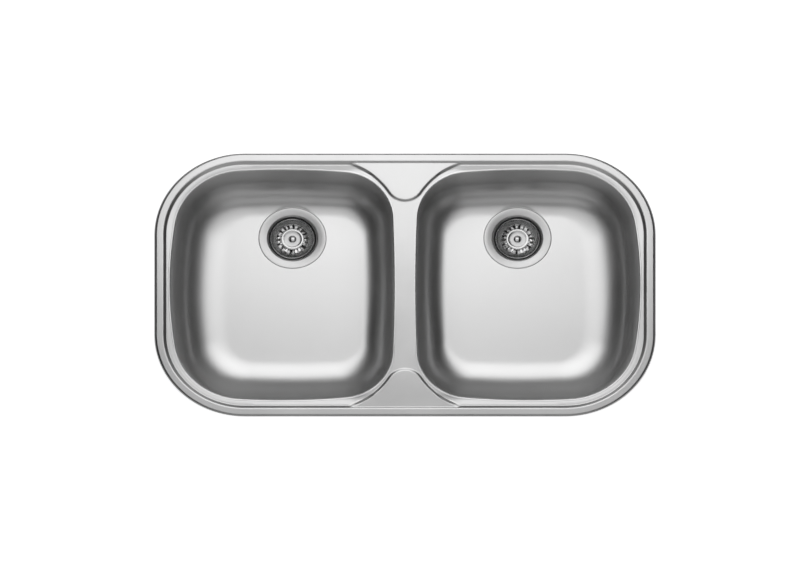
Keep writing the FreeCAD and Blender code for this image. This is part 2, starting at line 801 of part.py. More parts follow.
def spread(body, feature, count):
    """Repeat a feature evenly round the body's upright."""
    pattern = body.newObject("PartDesign::PolarPattern", feature.Name + "_round")
    pattern.Originals = [feature]
    for plane in body.Origin.OriginFeatures:
        if plane.Role == "Z_Axis":
            pattern.Axis = (plane, [""])
    pattern.Angle = 360
    if isinstance(count, Size):
        pattern.Occurrences = int(count.value)
        bind(pattern, "Occurrences", count)
    else:
        pattern.Occurrences = count
    body.Tip = pattern
    doc.recompute()
    return pattern


def build_plug(hand, x, y, floor):
    """The plug: slotted dish, rubber ring, knob, and the stem and nut that hold them together."""
    sheet = 1
    hole = D.stem_radius + 0.05
    depth = D.dish_depth - D.dish_top
    collar = D.dish_depth - D.shoulder
    dish = turned_piece(
        hand + "_basket",
        (
            (hole, 0),
            (D.dish_foot, 0),
            (D.dish_radius, collar),
            (D.dish_radius, depth),
            (D.dish_radius - sheet, depth),
            (D.dish_radius - sheet, collar + 0.4),
            (D.dish_foot - 0.7, sheet),
            (hole, sheet),
        ),
        x,
        y,
        floor - D.dish_depth,
    )
    slot = new_sketch(dish, hand + "_slot", lift=sheet)
    half = D.slot_width / 2
    near = D.knob_radius + 0.2
    far = D.dish_foot - 1.5
    add_polygon(slot, ((near, -half), (far, -half), (far, half), (near, half)))
    spread(dish, pocket(dish, slot, as_size(2)), D.slot_count)

    seal = turned_piece(
        hand + "_basket_seal",
        (
            (D.dish_radius, 0),
            (D.seal_radius, 0),
            (D.seal_radius, D.seal_height),
            (D.dish_radius, D.seal_height),
        ),
        x,
        y,
        floor - D.shoulder,
    )
    round_edges(seal, hand + "_seal_edge", as_size(1.2), ring_at(D.seal_radius, D.seal_height))

    base = D.dish_depth - sheet
    rise = base - D.knob_top
    knob = turned_piece(
        hand + "_knob",
        (
            (hole, 0),
            (8, 0),
            (8, 3.6),
            (D.knob_radius, 3.6),
            (D.knob_radius, rise),
            (D.knob_radius - 3.4, rise),
            (D.knob_radius - 3.4, rise - 1.8),
            (hole, rise - 1.8),
        ),
        x,
        y,
        floor - base,
    )
    round_edges(knob, hand + "_knob_edge", as_size(1.5), ring_at(D.knob_radius, rise))

    tail = as_size(7)
    head = tail + D.dish_depth - D.knob_top - 1.8
    stem = turned_piece(
        hand + "_stem",
        (
            (0, 0),
            (D.stem_radius, 0),
            (D.stem_radius, head),
            (6.8, head),
            (6.8, head + 4.4),
            (0, head + 4.4),
        ),
        x,
        y,
        floor - D.dish_depth - tail,
    )
    round_edges(stem, hand + "_stem_edge", as_size(4.2), ring_at(6.8, head + 4.4))
    keep(hex_nut(hand + "_stem_nut", 10, hole, 4, x, y, floor - D.dish_depth - 4))


def clip_points():
    """Each rail's name, its side, its middle and the turn of its claws."""
    middle = D.mouth_middle
    for side, depth_name, turn in ((1, "back", 0), (-1, "front", 180)):
        for hand, hand_name in ((-1, "left"), (1, "right")):
            yield depth_name + "_" + hand_name, side, hand * middle, turn


def build_clips():
    """Rails under the ledge, bolts hanging from them, and claws that swing out below the worktop."""
    bolts = []
    nuts = []
    for name, side, middle, turn in clip_points():
        rail = new_body(name + "_rail")
        section = new_sketch(rail, name + "_rail_section", "YZ_Plane")
        web = D.rail_line
        thick = D.rail_sheet
        low = -D.rail_drop
        profile = (
            (web - D.rail_foot, 0),
            (web, 0),
            (web, low + thick),
            (web + D.rail_shelf, low + thick),
            (web + D.rail_shelf, low),
            (web - thick, low),
            (web - thick, -thick),
            (web - D.rail_foot, -thick),
        )
        add_polygon(section, tuple((side * across, up) for across, up in profile))
        pad(rail, section, D.rail_length)
        holes = new_sketch(rail, name + "_rail_holes", lift=low + thick)
        for step in (-1, 1):
            at = D.rail_length / 2 + step * D.clip_pitch / 2
            add_circle(holes, at, side * D.clip_line, D.bolt_radius + 0.25)
        pocket(rail, holes, 2 * thick)
        place(rail, middle - D.rail_length / 2)
        keep(rail)
        for step, tag in ((-1, "1"), (1, "2")):
            x = middle + step * D.clip_pitch / 2
            y = side * D.clip_line
            bolts.append(clip_bolt(name + "_bolt_" + tag, x, y))
            bore = D.bolt_radius + 0.05
            low = -D.claw_level - D.bolt_nut_height
            nut = hex_nut(name + "_nut_" + tag, D.bolt_nut, bore, D.bolt_nut_height, x, y, low)
            nuts.append(nut)
            clip_claw(name + "_claw_" + tag, x, y, turn)
    for group_name, members in (("clip_bolts", bolts), ("clip_nuts", nuts)):
        group = doc.addObject("Part::Compound", group_name)
        group.Links = members
        doc.recompute()
        keep(group)


def clip_bolt(name, x, y):
    """A bolt that hangs by its round head from a rail."""
    body = new_body(name)
    sketch = new_sketch(body, name + "_section", "XZ_Plane")
    length = D.bolt_reach - D.rail_drop + D.rail_sheet
    add_polygon(
        sketch,
        (
            (0, 0),
            (D.bolt_radius, 0),
            (D.bolt_radius, length),
            (4.4, length),
            (4.4, length + 3.4),
            (0, length + 3.4),
        ),
    )
    revolve(body, sketch)
    return place(body, x, y, -D.bolt_reach)


def clip_claw(name, x, y, turn):
    """A claw: a flat arm with a round eye at the bolt and an upturned tooth at its end."""
    body = new_body(name)
    half = D.claw_width / 2
    eye = new_sketch(body, name + "_eye")
    add_circle(eye, 0, 0, half)
    pad(body, eye, D.claw_sheet)
    arm = new_sketch(body, name + "_arm")
    add_polygon(arm, ((0, -half), (D.claw_length, -half), (D.claw_length, half), (0, half)))
    pad(body, arm, D.claw_sheet)
    tooth = new_sketch(body, name + "_tooth", lift=D.claw_sheet)
    root = D.claw_length - D.claw_sheet
    add_polygon(tooth, ((root, -half), (D.claw_length, -half), (D.claw_length, half), (root, half)))
    pad(body, tooth, D.claw_tooth)
    hole = new_sketch(body, name + "_hole", lift=D.claw_sheet)
    add_circle(hole, 0, 0, D.bolt_radius + 0.06)
    pocket(body, hole, 2 * D.claw_sheet)
    place(body, x, y, -D.claw_level, turn)
    keep(body)


def check_and_write():
    """Refuse a failed document, then write each piece to its own file."""
    doc.recompute()
    for thing in doc.Objects:
        if "Invalid" in thing.State or "Error" in thing.State:
            raise RuntimeError("%s failed: %s" % (thing.Name, thing.State))
    for piece in pieces:
        shape = piece.Shape
        if shape.isNull() or not shape.isValid() or not shape.Solids:
            raise RuntimeError("%s has no sound shape" % piece.Label)
    os.makedirs("parts", exist_ok=True)
    for piece in pieces:
        piece.Shape.exportStep(os.path.join("parts", piece.Label + ".step"))
        box = piece.Shape.BoundBox
        size = "%.1f x %.1f x %.1f" % (box.XLength, box.YLength, box.ZLength)
        print(piece.Label, len(piece.Shape.Solids), size, "%.0f mm3" % piece.Shape.Volume)


build_deck()
build_bowls()
build_rim_seal()
for hand_name, hand_sign in (("left", -1), ("right", 1)):
    build_sound_pad(hand_name + "_sound_pad", hand_sign)
    build_waste(hand_name, hand_sign)
build_clips()
check_and_write()
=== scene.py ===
"""Inset double-bowl kitchen sink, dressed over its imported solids.

The sizes in the classes are in millimetres, in the frame of the solids: X to the right, Y to the back,
Z up, with Z = 0 on the worktop. The meshes and the studio are in metres.
"""

import logging
import math
from abc import ABC, abstractmethod
from contextlib import contextmanager
from dataclasses import dataclass, field
from enum import Enum
from functools import cache
from typing import Callable, Iterable, Iterator, Sequence, Union

import bpy
import numpy as np
from mathutils import Matrix, Vector
from mathutils.geometry import delaunay_2d_cdt


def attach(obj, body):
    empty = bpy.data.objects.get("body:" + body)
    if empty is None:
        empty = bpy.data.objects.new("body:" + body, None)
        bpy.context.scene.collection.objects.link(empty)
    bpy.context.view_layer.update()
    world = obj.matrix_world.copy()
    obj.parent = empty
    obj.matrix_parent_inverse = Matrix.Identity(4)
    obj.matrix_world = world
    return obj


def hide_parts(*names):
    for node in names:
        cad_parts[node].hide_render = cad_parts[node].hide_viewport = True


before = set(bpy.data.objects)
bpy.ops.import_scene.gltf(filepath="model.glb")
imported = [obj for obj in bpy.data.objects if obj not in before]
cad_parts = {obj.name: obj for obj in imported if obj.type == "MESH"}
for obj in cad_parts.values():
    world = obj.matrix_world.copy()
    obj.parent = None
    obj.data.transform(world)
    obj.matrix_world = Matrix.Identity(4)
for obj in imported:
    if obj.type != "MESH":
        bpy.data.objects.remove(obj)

LOG = logging.getLogger("sink")
MM = 0.001
SINK = "sink"  # the body that stays in the worktop
Pair = tuple[float, float]
Triple = tuple[float, float, float]
Piece = bpy.types.Object
Socket = bpy.types.NodeSocket
Feed = Union[Socket, float, Sequence[float]]


class Worded(Enum):
    """A choice whose name the solids use in small letters."""

    @property
    def word(self) -> str:
        """The name, as the solids use it."""
        return self.name.lower()


class Hand(Worded):
    """The two mirrored halves of the sink, with the sign of X."""

    LEFT = -1
    RIGHT = 1


class Side(Worded):
    """The two long edges of the sink, with the sign of Y."""

    BACK = 1
    FRONT = -1


class Slot(Enum):
    """The finishes that a scene can repaint."""

    STAINLESS = "stainless"
    POLISHED = "polished_stainless"
    ZINC = "zinc_steel"
    RUBBER = "rubber"
    PLASTIC = "plastic"


class Part(Enum):
    """The parts of a mesh that can be picked, with the mesh's name for them."""

    EDGE = "edges"
    FACE = "polygons"


# ---------------------------------------------------------------------------
# Shader nodes
# ---------------------------------------------------------------------------


class Wiring:
    """Short ways to place and join shader nodes in one tree."""

    def __init__(self, tree: bpy.types.NodeTree) -> None:
        """Take over the tree of a group, a material or the world."""
        self.tree = tree

    def put(self, kind: str, feeds: dict[str | int, Feed], **settings: object) -> bpy.types.Node:
        """Place a node.

        Args:
            kind: the node's type, without the words that every type starts with.
            feeds: what its inputs take, by name or number.
            settings: settings of the node itself.

        Returns:
            The node.
        """
        node = self.tree.nodes.new(f"ShaderNode{kind}")
        for label, value in settings.items():
            setattr(node, label, value)
        self.feed(node, feeds)
        return node

    def feed(self, node: bpy.types.Node, feeds: dict[str | int, Feed]) -> None:
        """Give a node's inputs what they take.

        Args:
            node: the node.
            feeds: for each input, by name or number, a socket to join or a value to set.
        """
        for label, value in feeds.items():
            if isinstance(value, Socket):
                self.tree.links.new(value, node.inputs[label])
            else:
                node.inputs[label].default_value = value

    def math(self, operation: str, *feeds: Feed) -> Socket:
        """Place a math node and give its result."""
        return self.put("Math", dict(enumerate(feeds)), operation=operation).outputs[0]


class GroupMaker:
    """Builds the shader node groups that the finishes share, each of them once."""

    @staticmethod
    def _start(name: str, **numbers: float) -> tuple[Wiring, bpy.types.Node, bpy.types.Node]:
        """Start a group with a vector input, number inputs and one number output.

        Args:
            name: name of the group.
            numbers: default values of the number inputs, by name.

        Returns:
            The group's wiring, and the nodes of its inputs and of its output.
        """
        group = bpy.data.node_groups.new(name, "ShaderNodeTree")
        group.interface.new_socket("Vector", in_out="INPUT", socket_type="NodeSocketVector")
        for label, value in numbers.items():
            socket = group.interface.new_socket(label, in_out="INPUT", socket_type="NodeSocketFloat")
            socket.default_value = value
        group.interface.new_socket("Value", in_out="OUTPUT", socket_type="NodeSocketFloat")
        return Wiring(group), group.nodes.new("NodeGroupInput"), group.nodes.new("NodeGroupOutput")

    @classmethod
    @cache
    def grain(cls) -> bpy.types.NodeTree:
        """Fine brush lines drawn out along X, for satin sheet.

        Returns:
            The group; its value is about 0 to 1.
        """
        wire, given, result = cls._start("brushed_grain", Scale=900.0, Stretch=0.012)
        stretch = wire.put("CombineXYZ", {"X": given.outputs["Stretch"], "Y": 1.0, "Z": 1.0})
        drawn = wire.put("VectorMath", {0: given.outputs["Vector"], 1: stretch.outputs[0]}, operation="MULTIPLY")
        noise = wire.put("TexNoise", {"Vector": drawn.outputs[0], "Scale": given.outputs["Scale"], "Detail": 3.0})
        wire.feed(result, {"Value": noise.outputs["Fac"]})
        return wire.tree

    @classmethod
    @cache
    def clouds(cls) -> bpy.types.NodeTree:
        """Broad soft patches, for handling marks and uneven finish.

        Returns:
            The group; its value runs from 0 to 1.
        """
        wire, given, result = cls._start("handling_clouds", Scale=9.0)
        feeds = {"Vector": given.outputs["Vector"], "Scale": given.outputs["Scale"]}
        noise = wire.put("TexNoise", {**feeds, "Detail": 4.0, "Distortion": 0.4})
        spread = wire.put("MapRange", {"Value": noise.outputs["Fac"], "From Min": 0.35, "From Max": 0.65})
        wire.feed(result, {"Value": spread.outputs["Result"]})
        return wire.tree

    @classmethod
    @cache
    def rings(cls) -> bpy.types.NodeTree:
        """Fine lathe lines round the Z axis of the given vector.

        Returns:
            The group; its value is about 0 to 1.
        """
        wire, given, result = cls._start("turned_rings", Scale=2600.0)
        parts = wire.put("SeparateXYZ", {0: given.outputs["Vector"]})
        flat = wire.put("CombineXYZ", {"X": parts.outputs["X"], "Y": parts.outputs["Y"]})
        radius = wire.put("VectorMath", {0: flat.outputs[0]}, operation="LENGTH")
        place = wire.put("CombineXYZ", {"X": radius.outputs["Value"], "Y": parts.outputs["Z"]})
        noise = wire.put("TexNoise", {"Vector": place.outputs[0], "Scale": given.outputs["Scale"], "Detail": 2.0})
        wire.feed(result, {"Value": noise.outputs["Fac"]})
        return wire.tree

    @classmethod
    @cache
    def cells(cls) -> bpy.types.NodeTree:
        """Small rounded cells, for foam, zinc spangle and moulded grain.

        Returns:
            The group; its value runs from 0 to 1.
        """
        wire, given, result = cls._start("small_cells", Scale=400.0)
        feeds = {"Vector": given.outputs["Vector"], "Scale": given.outputs["Scale"]}
        cell = wire.put("TexVoronoi", feeds, feature="SMOOTH_F1")
        wire.feed(result, {"Value": cell.outputs["Distance"]})
        return wire.tree


class Surface(Wiring):
    """The nodes of one material, round its shader."""

    edge_samples = 6

    def __init__(self, material: bpy.types.Material) -> None:
        """Take over a new material.

        Args:
            material: the material.
        """
        material.use_nodes = True
        super().__init__(material.node_tree)
        self.shader = self.tree.nodes["Principled BSDF"]

    def coordinates(self, centre: Pair = (0.0, 0.0)) -> Socket:
        """Object coordinates, moved so that an upright axis is at zero.

        Args:
            centre: X and Y of the axis in mm.

        Returns:
            The vector socket to feed on.
        """
        place = self.put("TexCoord", {})
        move = (-centre[0] * MM, -centre[1] * MM, 0.0)
        return self.put("Mapping", {"Vector": place.outputs["Object"], "Location": move}).outputs["Vector"]

    def mask(self, group: bpy.types.NodeTree, place: Socket, **numbers: float) -> Socket:
        """Place a node group at the given coordinates, with values for its number inputs."""
        return self.put("Group", {"Vector": place, **numbers}, node_tree=group).outputs["Value"]

    def colour(self, mask: Socket, dark: Triple, light: Triple) -> None:
        """Vary the surface's colour from dark, where the mask is 0, to light, where it is 1."""
        mix = self.put("Mix", {"Factor": mask, "A": (*dark, 1.0), "B": (*light, 1.0)}, data_type="RGBA")
        self.feed(self.shader, {"Base Color": mix.outputs["Result"]})

    def gloss(self, mask: Socket, smooth: float, rough: float) -> None:
        """Vary the surface's roughness from smooth, where the mask is 0, to rough, where it is 1."""
        spread = self.put("MapRange", {"Value": mask, "To Min": smooth, "To Max": rough})
        self.feed(self.shader, {"Roughness": spread.outputs["Result"]})

    def metal(self) -> None:
        """Make the surface metal all over."""
        self.feed(self.shader, {"Metallic": 1.0})

    def relief(self, mask: Socket, depth: float, edge: float = 0.0) -> None:
        """Raise the surface a little and let its edges look rounded.

        Args:
            mask: the 0 to 1 height.
            depth: depth of the height in mm.
            edge: radius in mm that edges look rounded by.
        """
        bump = self.put("Bump", {"Height": mask, "Distance": depth * MM})
        if edge:
            bevel = self.put("Bevel", {"Radius": edge * MM}, samples=self.edge_samples)
            self.feed(bump, {"Normal": bevel.outputs["Normal"]})
        self.feed(self.shader, {"Normal": bump.outputs["Normal"]})


# ---------------------------------------------------------------------------
# Finishes
# ---------------------------------------------------------------------------


@dataclass(frozen=True)
class Finish(ABC):
    """A finish that some of the pieces share."""

    name: str

    def material(self) -> bpy.types.Material:
        """The finish as a material, made when it is first asked for.

        Returns:
            The material.
        """
        material = bpy.data.materials.get(self.name)
        if material is None:
            material = bpy.data.materials.new(self.name)
            self.lay(Surface(material))
        return material

    @abstractmethod
    def lay(self, surface: Surface) -> None:
        """Lay the finish on a new material's surface."""


@dataclass(frozen=True)
class SatinSteel(Finish):
    """Pressed stainless sheet with a fine brushed grain."""

    dark: float
    light: float
    smooth: float
    rough: float
    cloud: float = 7.0
    grain: float = 900.0
    stretch: float = 0.015
    depth: float = 0.0004

    def lay(self, surface: Surface) -> None:
        """Lay the finish on a new material's surface.

        Args:
            surface: the surface.
        """
        place = surface.coordinates()
        clouds = surface.mask(GroupMaker.clouds(), place, Scale=self.cloud)
        grain = surface.mask(GroupMaker.grain(), place, Scale=self.grain, Stretch=self.stretch)
        surface.colour(clouds, (self.dark,) * 3, (self.light,) * 3)
        surface.gloss(clouds, self.smooth, self.rough)
        surface.metal()
        surface.relief(grain, self.depth)


@dataclass(frozen=True)
class TurnedSteel(Finish):
    """Spun or turned stainless with fine lathe lines round its axis."""

    centre: Pair
    dark: float
    light: float
    smooth: float
    rough: float
    cloud: float = 25.0
    ring: float = 2600.0
    depth: float = 0.004

    def lay(self, surface: Surface) -> None:
        """Lay the finish on a new material's surface.

        Args:
            surface: the surface.
        """
        place = surface.coordinates(self.centre)
        rings = surface.mask(GroupMaker.rings(), place, Scale=self.ring)
        clouds = surface.mask(GroupMaker.clouds(), place, Scale=self.cloud)
        surface.colour(clouds, (self.dark,) * 3, (self.light,) * 3)
        surface.gloss(rings, self.smooth, self.rough)
        surface.metal()
        surface.relief(rings, self.depth)


@dataclass(frozen=True)
class PlainMetal(Finish):
    """Plated or turned metal of the small fixings, with a faint spangle where it is plated."""

    dark: Triple
    light: Triple
    smooth: float
    rough: float
    cloud: float
    edge: float
    spangle: float = 0.0
    depth: float = 0.01

    def lay(self, surface: Surface) -> None:
        """Lay the finish on a new material's surface.

        Args:
            surface: the surface.
        """
        place = surface.coordinates()
        clouds = surface.mask(GroupMaker.clouds(), place, Scale=self.cloud)
        tint = surface.mask(GroupMaker.cells(), place, Scale=self.spangle) if self.spangle else clouds
        surface.colour(tint, self.dark, self.light)
        surface.gloss(clouds, self.smooth, self.rough)
        surface.metal()
        surface.relief(clouds, self.depth, self.edge)


@dataclass(frozen=True)
class Grained(Finish):
    """A matt moulded finish: rubber, foam, plastic."""

    dark: Triple
    light: Triple
    rough: float
    cell: float
    depth: float
    edge: float = 0.3
    cloud: float = 30.0
    uneven: float = 0.06

    def lay(self, surface: Surface) -> None:
        """Lay the finish on a new material's surface.

        Args:
            surface: the surface.
        """
        place = surface.coordinates()
        cells = surface.mask(GroupMaker.cells(), place, Scale=self.cell)
        clouds = surface.mask(GroupMaker.clouds(), place, Scale=self.cloud)
        surface.colour(clouds, self.dark, self.light)
        surface.gloss(clouds, self.rough - self.uneven, self.rough + self.uneven)
        surface.relief(cells, self.depth, self.edge)


DECK_STEEL = SatinSteel("satin_steel", 0.48, 0.54, 0.28, 0.325)
BOWL_STEEL = SatinSteel("bowl_steel", 0.60, 0.63, 0.32, 0.36)
ZINC = PlainMetal("zinc_steel", (0.52, 0.54, 0.57), (0.68, 0.69, 0.70), 0.30, 0.46, 40.0, 0.4, 220.0)
BRASS = PlainMetal("turned_brass", (0.60, 0.42, 0.16), (0.76, 0.56, 0.26), 0.24, 0.38, 60.0, 0.3)
RUBBER = Grained("black_rubber", (0.012, 0.012, 0.013), (0.022, 0.022, 0.023), 0.55, 1400.0, 0.02)
PAD_RUBBER = Grained("pad_rubber", (0.045, 0.046, 0.050), (0.065, 0.066, 0.070), 0.72, 700.0, 0.05)
FOAM = Grained("grey_foam", (0.10, 0.10, 0.105), (0.15, 0.15, 0.155), 0.85, 900.0, 0.2)
PLASTIC = Grained("white_plastic", (0.74, 0.74, 0.72), (0.80, 0.80, 0.78), 0.42, 1600.0, 0.015)


# ---------------------------------------------------------------------------
# Modelling
# ---------------------------------------------------------------------------


def arc(centre: Pair, radius: float, start: float, end: float, steps: int) -> list[Pair]:
    """Points on an arc, both its ends among them; the angles are in degrees."""
    angles = [math.radians(start + (end - start) * i / steps) for i in range(steps + 1)]
    return [(centre[0] + radius * math.cos(a), centre[1] + radius * math.sin(a)) for a in angles]


def between(start: Pair, end: Pair, steps: int) -> list[Pair]:
    """Points inside a straight run of so many steps, without its ends."""
    run_x, run_y = end[0] - start[0], end[1] - start[1]
    return [(start[0] + run_x * i / steps, start[1] + run_y * i / steps) for i in range(1, steps)]


def ease(value: float) -> float:
    """Go from 0 to 1 with soft ends while the value does."""
    share = min(max(value, 0.0), 1.0)
    return share * share * (3.0 - 2.0 * share)


class Bench:
    """Operator work on one mesh at a time; places and sizes are given in mm."""

    merge = 0.002
    smooth_angle = 42.0
    edge_segments = 2

    @staticmethod
    def clear() -> None:
        """Leave edit mode and deselect everything."""
        if bpy.context.object is not None and bpy.context.object.mode != "OBJECT":
            bpy.ops.object.mode_set(mode="OBJECT")
        bpy.ops.object.select_all(action="DESELECT")

    @staticmethod
    def choose(*pieces: Piece) -> None:
        """Select some pieces and nothing else, the first of them active.

        Args:
            pieces: the pieces.
        """
        Bench.clear()
        for piece in pieces:
            piece.select_set(True)
        bpy.context.view_layer.objects.active = pieces[0]

    @staticmethod
    @contextmanager
    def editing(piece: Piece) -> Iterator[None]:
        """Open one piece in edit mode with all of it selected, and close it afterwards.

        Args:
            piece: the piece to work on.

        Returns:
            A context in which the piece is open.
        """
        Bench.choose(piece)
        bpy.ops.object.mode_set(mode="EDIT")
        bpy.ops.mesh.select_mode(type="VERT")
        bpy.ops.mesh.select_all(action="SELECT")
        yield
        bpy.ops.object.mode_set(mode="OBJECT")

    @staticmethod
    @contextmanager
    def picking(piece: Piece, part: Part, wanted: Callable[[object], bool]) -> Iterator[None]:
        """Open one piece in edit mode with some of its parts selected, and close it afterwards.

        Args:
            piece: the piece to work on.
            part: the kind of parts.
            wanted: tells which of them to select.

        Returns:
            A context in which the piece is open.
        """
        with Bench.editing(piece):
            bpy.ops.mesh.select_mode(type=part.name)
            bpy.ops.mesh.select_all(action="DESELECT")
            bpy.ops.object.mode_set(mode="OBJECT")
            for item in getattr(piece.data, part.value):
                item.select = wanted(item)
            bpy.ops.object.mode_set(mode="EDIT")
            yield

    @staticmethod
    def label(piece: Piece, name: str) -> Piece:
        """Name a piece and its mesh, and hand it back.

        Args:
            piece: the piece.
            name: its name.

        Returns:
            The piece.
        """
        piece.name = name
        piece.data.name = name
        return piece

    @staticmethod
    def take(name: str) -> Piece:
        """Put the place of the primitive just added into its mesh, name it and hand it back."""
        bpy.ops.object.transform_apply(location=True, rotation=True, scale=True)
        return Bench.label(bpy.context.object, name)

    @staticmethod
    def tidy(piece: Piece, outwards: bool = True) -> None:
        """Merge what coincides and turn the faces outwards.

        Args:
            piece: the piece to work on.
            outwards: recalculate the face directions.
        """
        with Bench.editing(piece):
            bpy.ops.mesh.remove_doubles(threshold=Bench.merge * MM)
            if outwards:
                bpy.ops.mesh.normals_make_consistent(inside=False)

    @staticmethod
    def face_up(piece: Piece) -> None:
        """Turn an open skin over if its largest level face looks down.

        Args:
            piece: the skin.
        """
        flat = max(piece.data.polygons, key=lambda face: abs(face.normal.z) * face.area)
        if flat.normal.z < 0:
            with Bench.editing(piece):
                bpy.ops.mesh.flip_normals()

    @staticmethod
    def close(piece: Piece) -> None:
        """Fill the holes that a turned section leaves on its axis.

        Args:
            piece: the piece to work on.
        """
        with Bench.editing(piece):
            bpy.ops.mesh.fill_holes(sides=0)
            bpy.ops.mesh.normals_make_consistent(inside=False)

    @staticmethod
    def apply(piece: Piece, kind: str, **values: object) -> None:
        """Add a modifier and apply it.

        Args:
            piece: the piece to work on.
            kind: the modifier's type.
            values: its settings.
        """
        Bench.choose(piece)
        modifier = piece.modifiers.new(kind.lower(), kind)
        for label, value in values.items():
            setattr(modifier, label, value)
        bpy.ops.object.modifier_apply(modifier=modifier.name)

    @staticmethod
    def shade(piece: Piece) -> Piece:
        """Shade a piece smooth but for its hard edges, and hand it back.

        Args:
            piece: the piece to work on.

        Returns:
            The piece.
        """
        Bench.choose(piece)
        bpy.ops.object.shade_smooth_by_angle(angle=math.radians(Bench.smooth_angle))
        return piece

    @staticmethod
    def soften(piece: Piece, width: float, angle: float) -> Piece:
        """Round a piece's hard edges and shade it.

        Args:
            piece: the piece to work on.
            width: width of the rounding.
            angle: edges sharper than this many degrees are rounded.

        Returns:
            The piece.
        """
        limit = {"limit_method": "ANGLE", "angle_limit": math.radians(angle), "use_clamp_overlap": True}
        Bench.apply(piece, "BEVEL", width=width * MM, segments=Bench.edge_segments, **limit)
        return Bench.shade(piece)

    @staticmethod
    def turn(name: str, axis: Pair, profile: Sequence[Pair], sides: int = 96) -> Piece:
        """Turn a section round an upright axis: a ring, drawn out from point to point.

        Args:
            name: name of the new piece.
            axis: X and Y of the axis.
            profile: radius and height of each point.
            sides: number of sides round the axis.

        Returns:
            The new piece, its loose ends open.
        """
        Bench.clear()
        x, y = axis[0] * MM, axis[1] * MM
        radius, height = profile[0]
        bpy.ops.mesh.primitive_circle_add(
            vertices=sides, radius=radius * MM, fill_type="NOTHING", location=(x, y, height * MM)
        )
        piece = Bench.take(name)
        with Bench.editing(piece):
            for (radius, height), (wider, higher) in zip(profile, profile[1:]):
                bpy.ops.mesh.extrude_region_move(TRANSFORM_OT_translate={"value": (0, 0, (higher - height) * MM)})
                ratio = wider / radius
                bpy.ops.transform.resize(value=(ratio, ratio, 1), center_override=(x, y, higher * MM))
        Bench.tidy(piece)
        return piece

    @staticmethod
    def loft(name: str, rings: np.ndarray) -> Piece:
        """Wrap a grid round closed rings of equal length.

        Args:
            name: name of the new piece.
            rings: ring by ring, the points.

        Returns:
            The new piece, open at its first and last ring.
        """
        Bench.clear()
        count, around = rings.shape[:2]
        bpy.ops.mesh.primitive_grid_add(x_subdivisions=around, y_subdivisions=count - 1)
        piece = Bench.label(bpy.context.object, name)
        wrapped = np.concatenate([rings, rings[:, :1]], axis=1)
        piece.data.vertices.foreach_set("co", (wrapped * MM).astype(np.float32).ravel())
        piece.data.update()
        Bench.tidy(piece, outwards=False)
        return piece

    @staticmethod
    def block(name: str, middle: Sequence[float], size: Sequence[float]) -> Piece:
        """A block to work on.

        Args:
            name: name of the new piece.
            middle: its middle.
            size: its lengths.

        Returns:
            The block.
        """
        Bench.clear()
        bpy.ops.mesh.primitive_cube_add(size=1.0, location=[value * MM for value in middle])
        bpy.context.object.scale = [value * MM for value in size]
        return Bench.take(name)

    @staticmethod
    def prism(name: str, centre: Pair, across: float, low: float, high: float, sides: int = 6) -> Piece:
        """A nut's block: a ring of flats, raised and capped.

        Args:
            name: name of the new piece.
            centre: X and Y of its axis.
            across: width across flats.
            low: height of the underside.
            high: height of the top.
            sides: number of flats.

        Returns:
            The closed block.
        """
        Bench.clear()
        radius = across / 2 / math.cos(math.pi / sides)
        place = (centre[0] * MM, centre[1] * MM, low * MM)
        bpy.ops.mesh.primitive_circle_add(vertices=sides, radius=radius * MM, fill_type="NGON", location=place)
        block = Bench.take(name)
        with Bench.editing(block):
            bpy.ops.mesh.extrude_region_move(TRANSFORM_OT_translate={"value": (0, 0, (high - low) * MM)})
            bpy.ops.mesh.select_all(action="SELECT")
            bpy.ops.mesh.normals_make_consistent(inside=False)
        return block

    @staticmethod
    def thread(axis: Pair, radius: float, low: float, high: float, pitch: float) -> Piece:
        """A thread's ridge: a small wedge run up round an axis.

        Args:
            axis: X and Y of the axis.
            radius: radius of the thread's crest.
            low: height of its first turn.
            high: height that its last turn stays under.
            pitch: rise of one turn.

        Returns:
            The ridge, closed at both ends.
        """
        corners, turn_steps, slimness = 4, 20, 0.55
        turns = max(1, int((high - low) / pitch) - 1)
        depth = pitch * slimness
        Bench.clear()
        bpy.ops.mesh.primitive_circle_add(
            vertices=corners,
            radius=depth * MM,
            fill_type="NOTHING",
            location=((radius - depth) * MM, 0, (low + pitch * 0.5) * MM),
            rotation=(math.radians(90), 0, 0),
        )
        ridge = Bench.take("ridge")
        steps = {"steps": turn_steps, "render_steps": turn_steps, "angle": math.radians(360)}
        Bench.apply(ridge, "SCREW", axis="Z", screw_offset=pitch * MM, iterations=turns, **steps)
        Bench.close(ridge)
        with Bench.editing(ridge):
            bpy.ops.transform.translate(value=(axis[0] * MM, axis[1] * MM, 0))
        return ridge

    @staticmethod
    def join(pieces: Sequence[Piece], name: str) -> Piece:
        """Join several meshes into the first.

        Args:
            pieces: the meshes.
            name: name of the result.

        Returns:
            The joined piece.
        """
        Bench.choose(*pieces)
        bpy.ops.object.join()
        return Bench.label(bpy.context.object, name)

    @staticmethod
    def repeat(first: Piece, spots: Sequence[Pair], name: str) -> Piece:
        """Copy a piece from the first of some spots to the others and join it with its copies.

        Args:
            first: the piece on the first spot.
            spots: X and Y of the spots.
            name: name of the result.

        Returns:
            The joined and shaded piece.
        """
        copies = [first]
        for x, y in spots[1:]:
            Bench.choose(first)
            bpy.ops.object.duplicate(linked=False)
            copies.append(bpy.context.object)
            with Bench.editing(copies[-1]):
                bpy.ops.transform.translate(value=((x - spots[0][0]) * MM, (y - spots[0][1]) * MM, 0))
        return Bench.shade(Bench.join(copies, name))

    @staticmethod
    def cut(piece: Piece, tool: Piece) -> None:
        """Cut a closed mesh out of a piece and drop it."""
        Bench.apply(piece, "BOOLEAN", operation="DIFFERENCE", object=tool, solver="EXACT")
        bpy.data.objects.remove(tool, do_unlink=True)


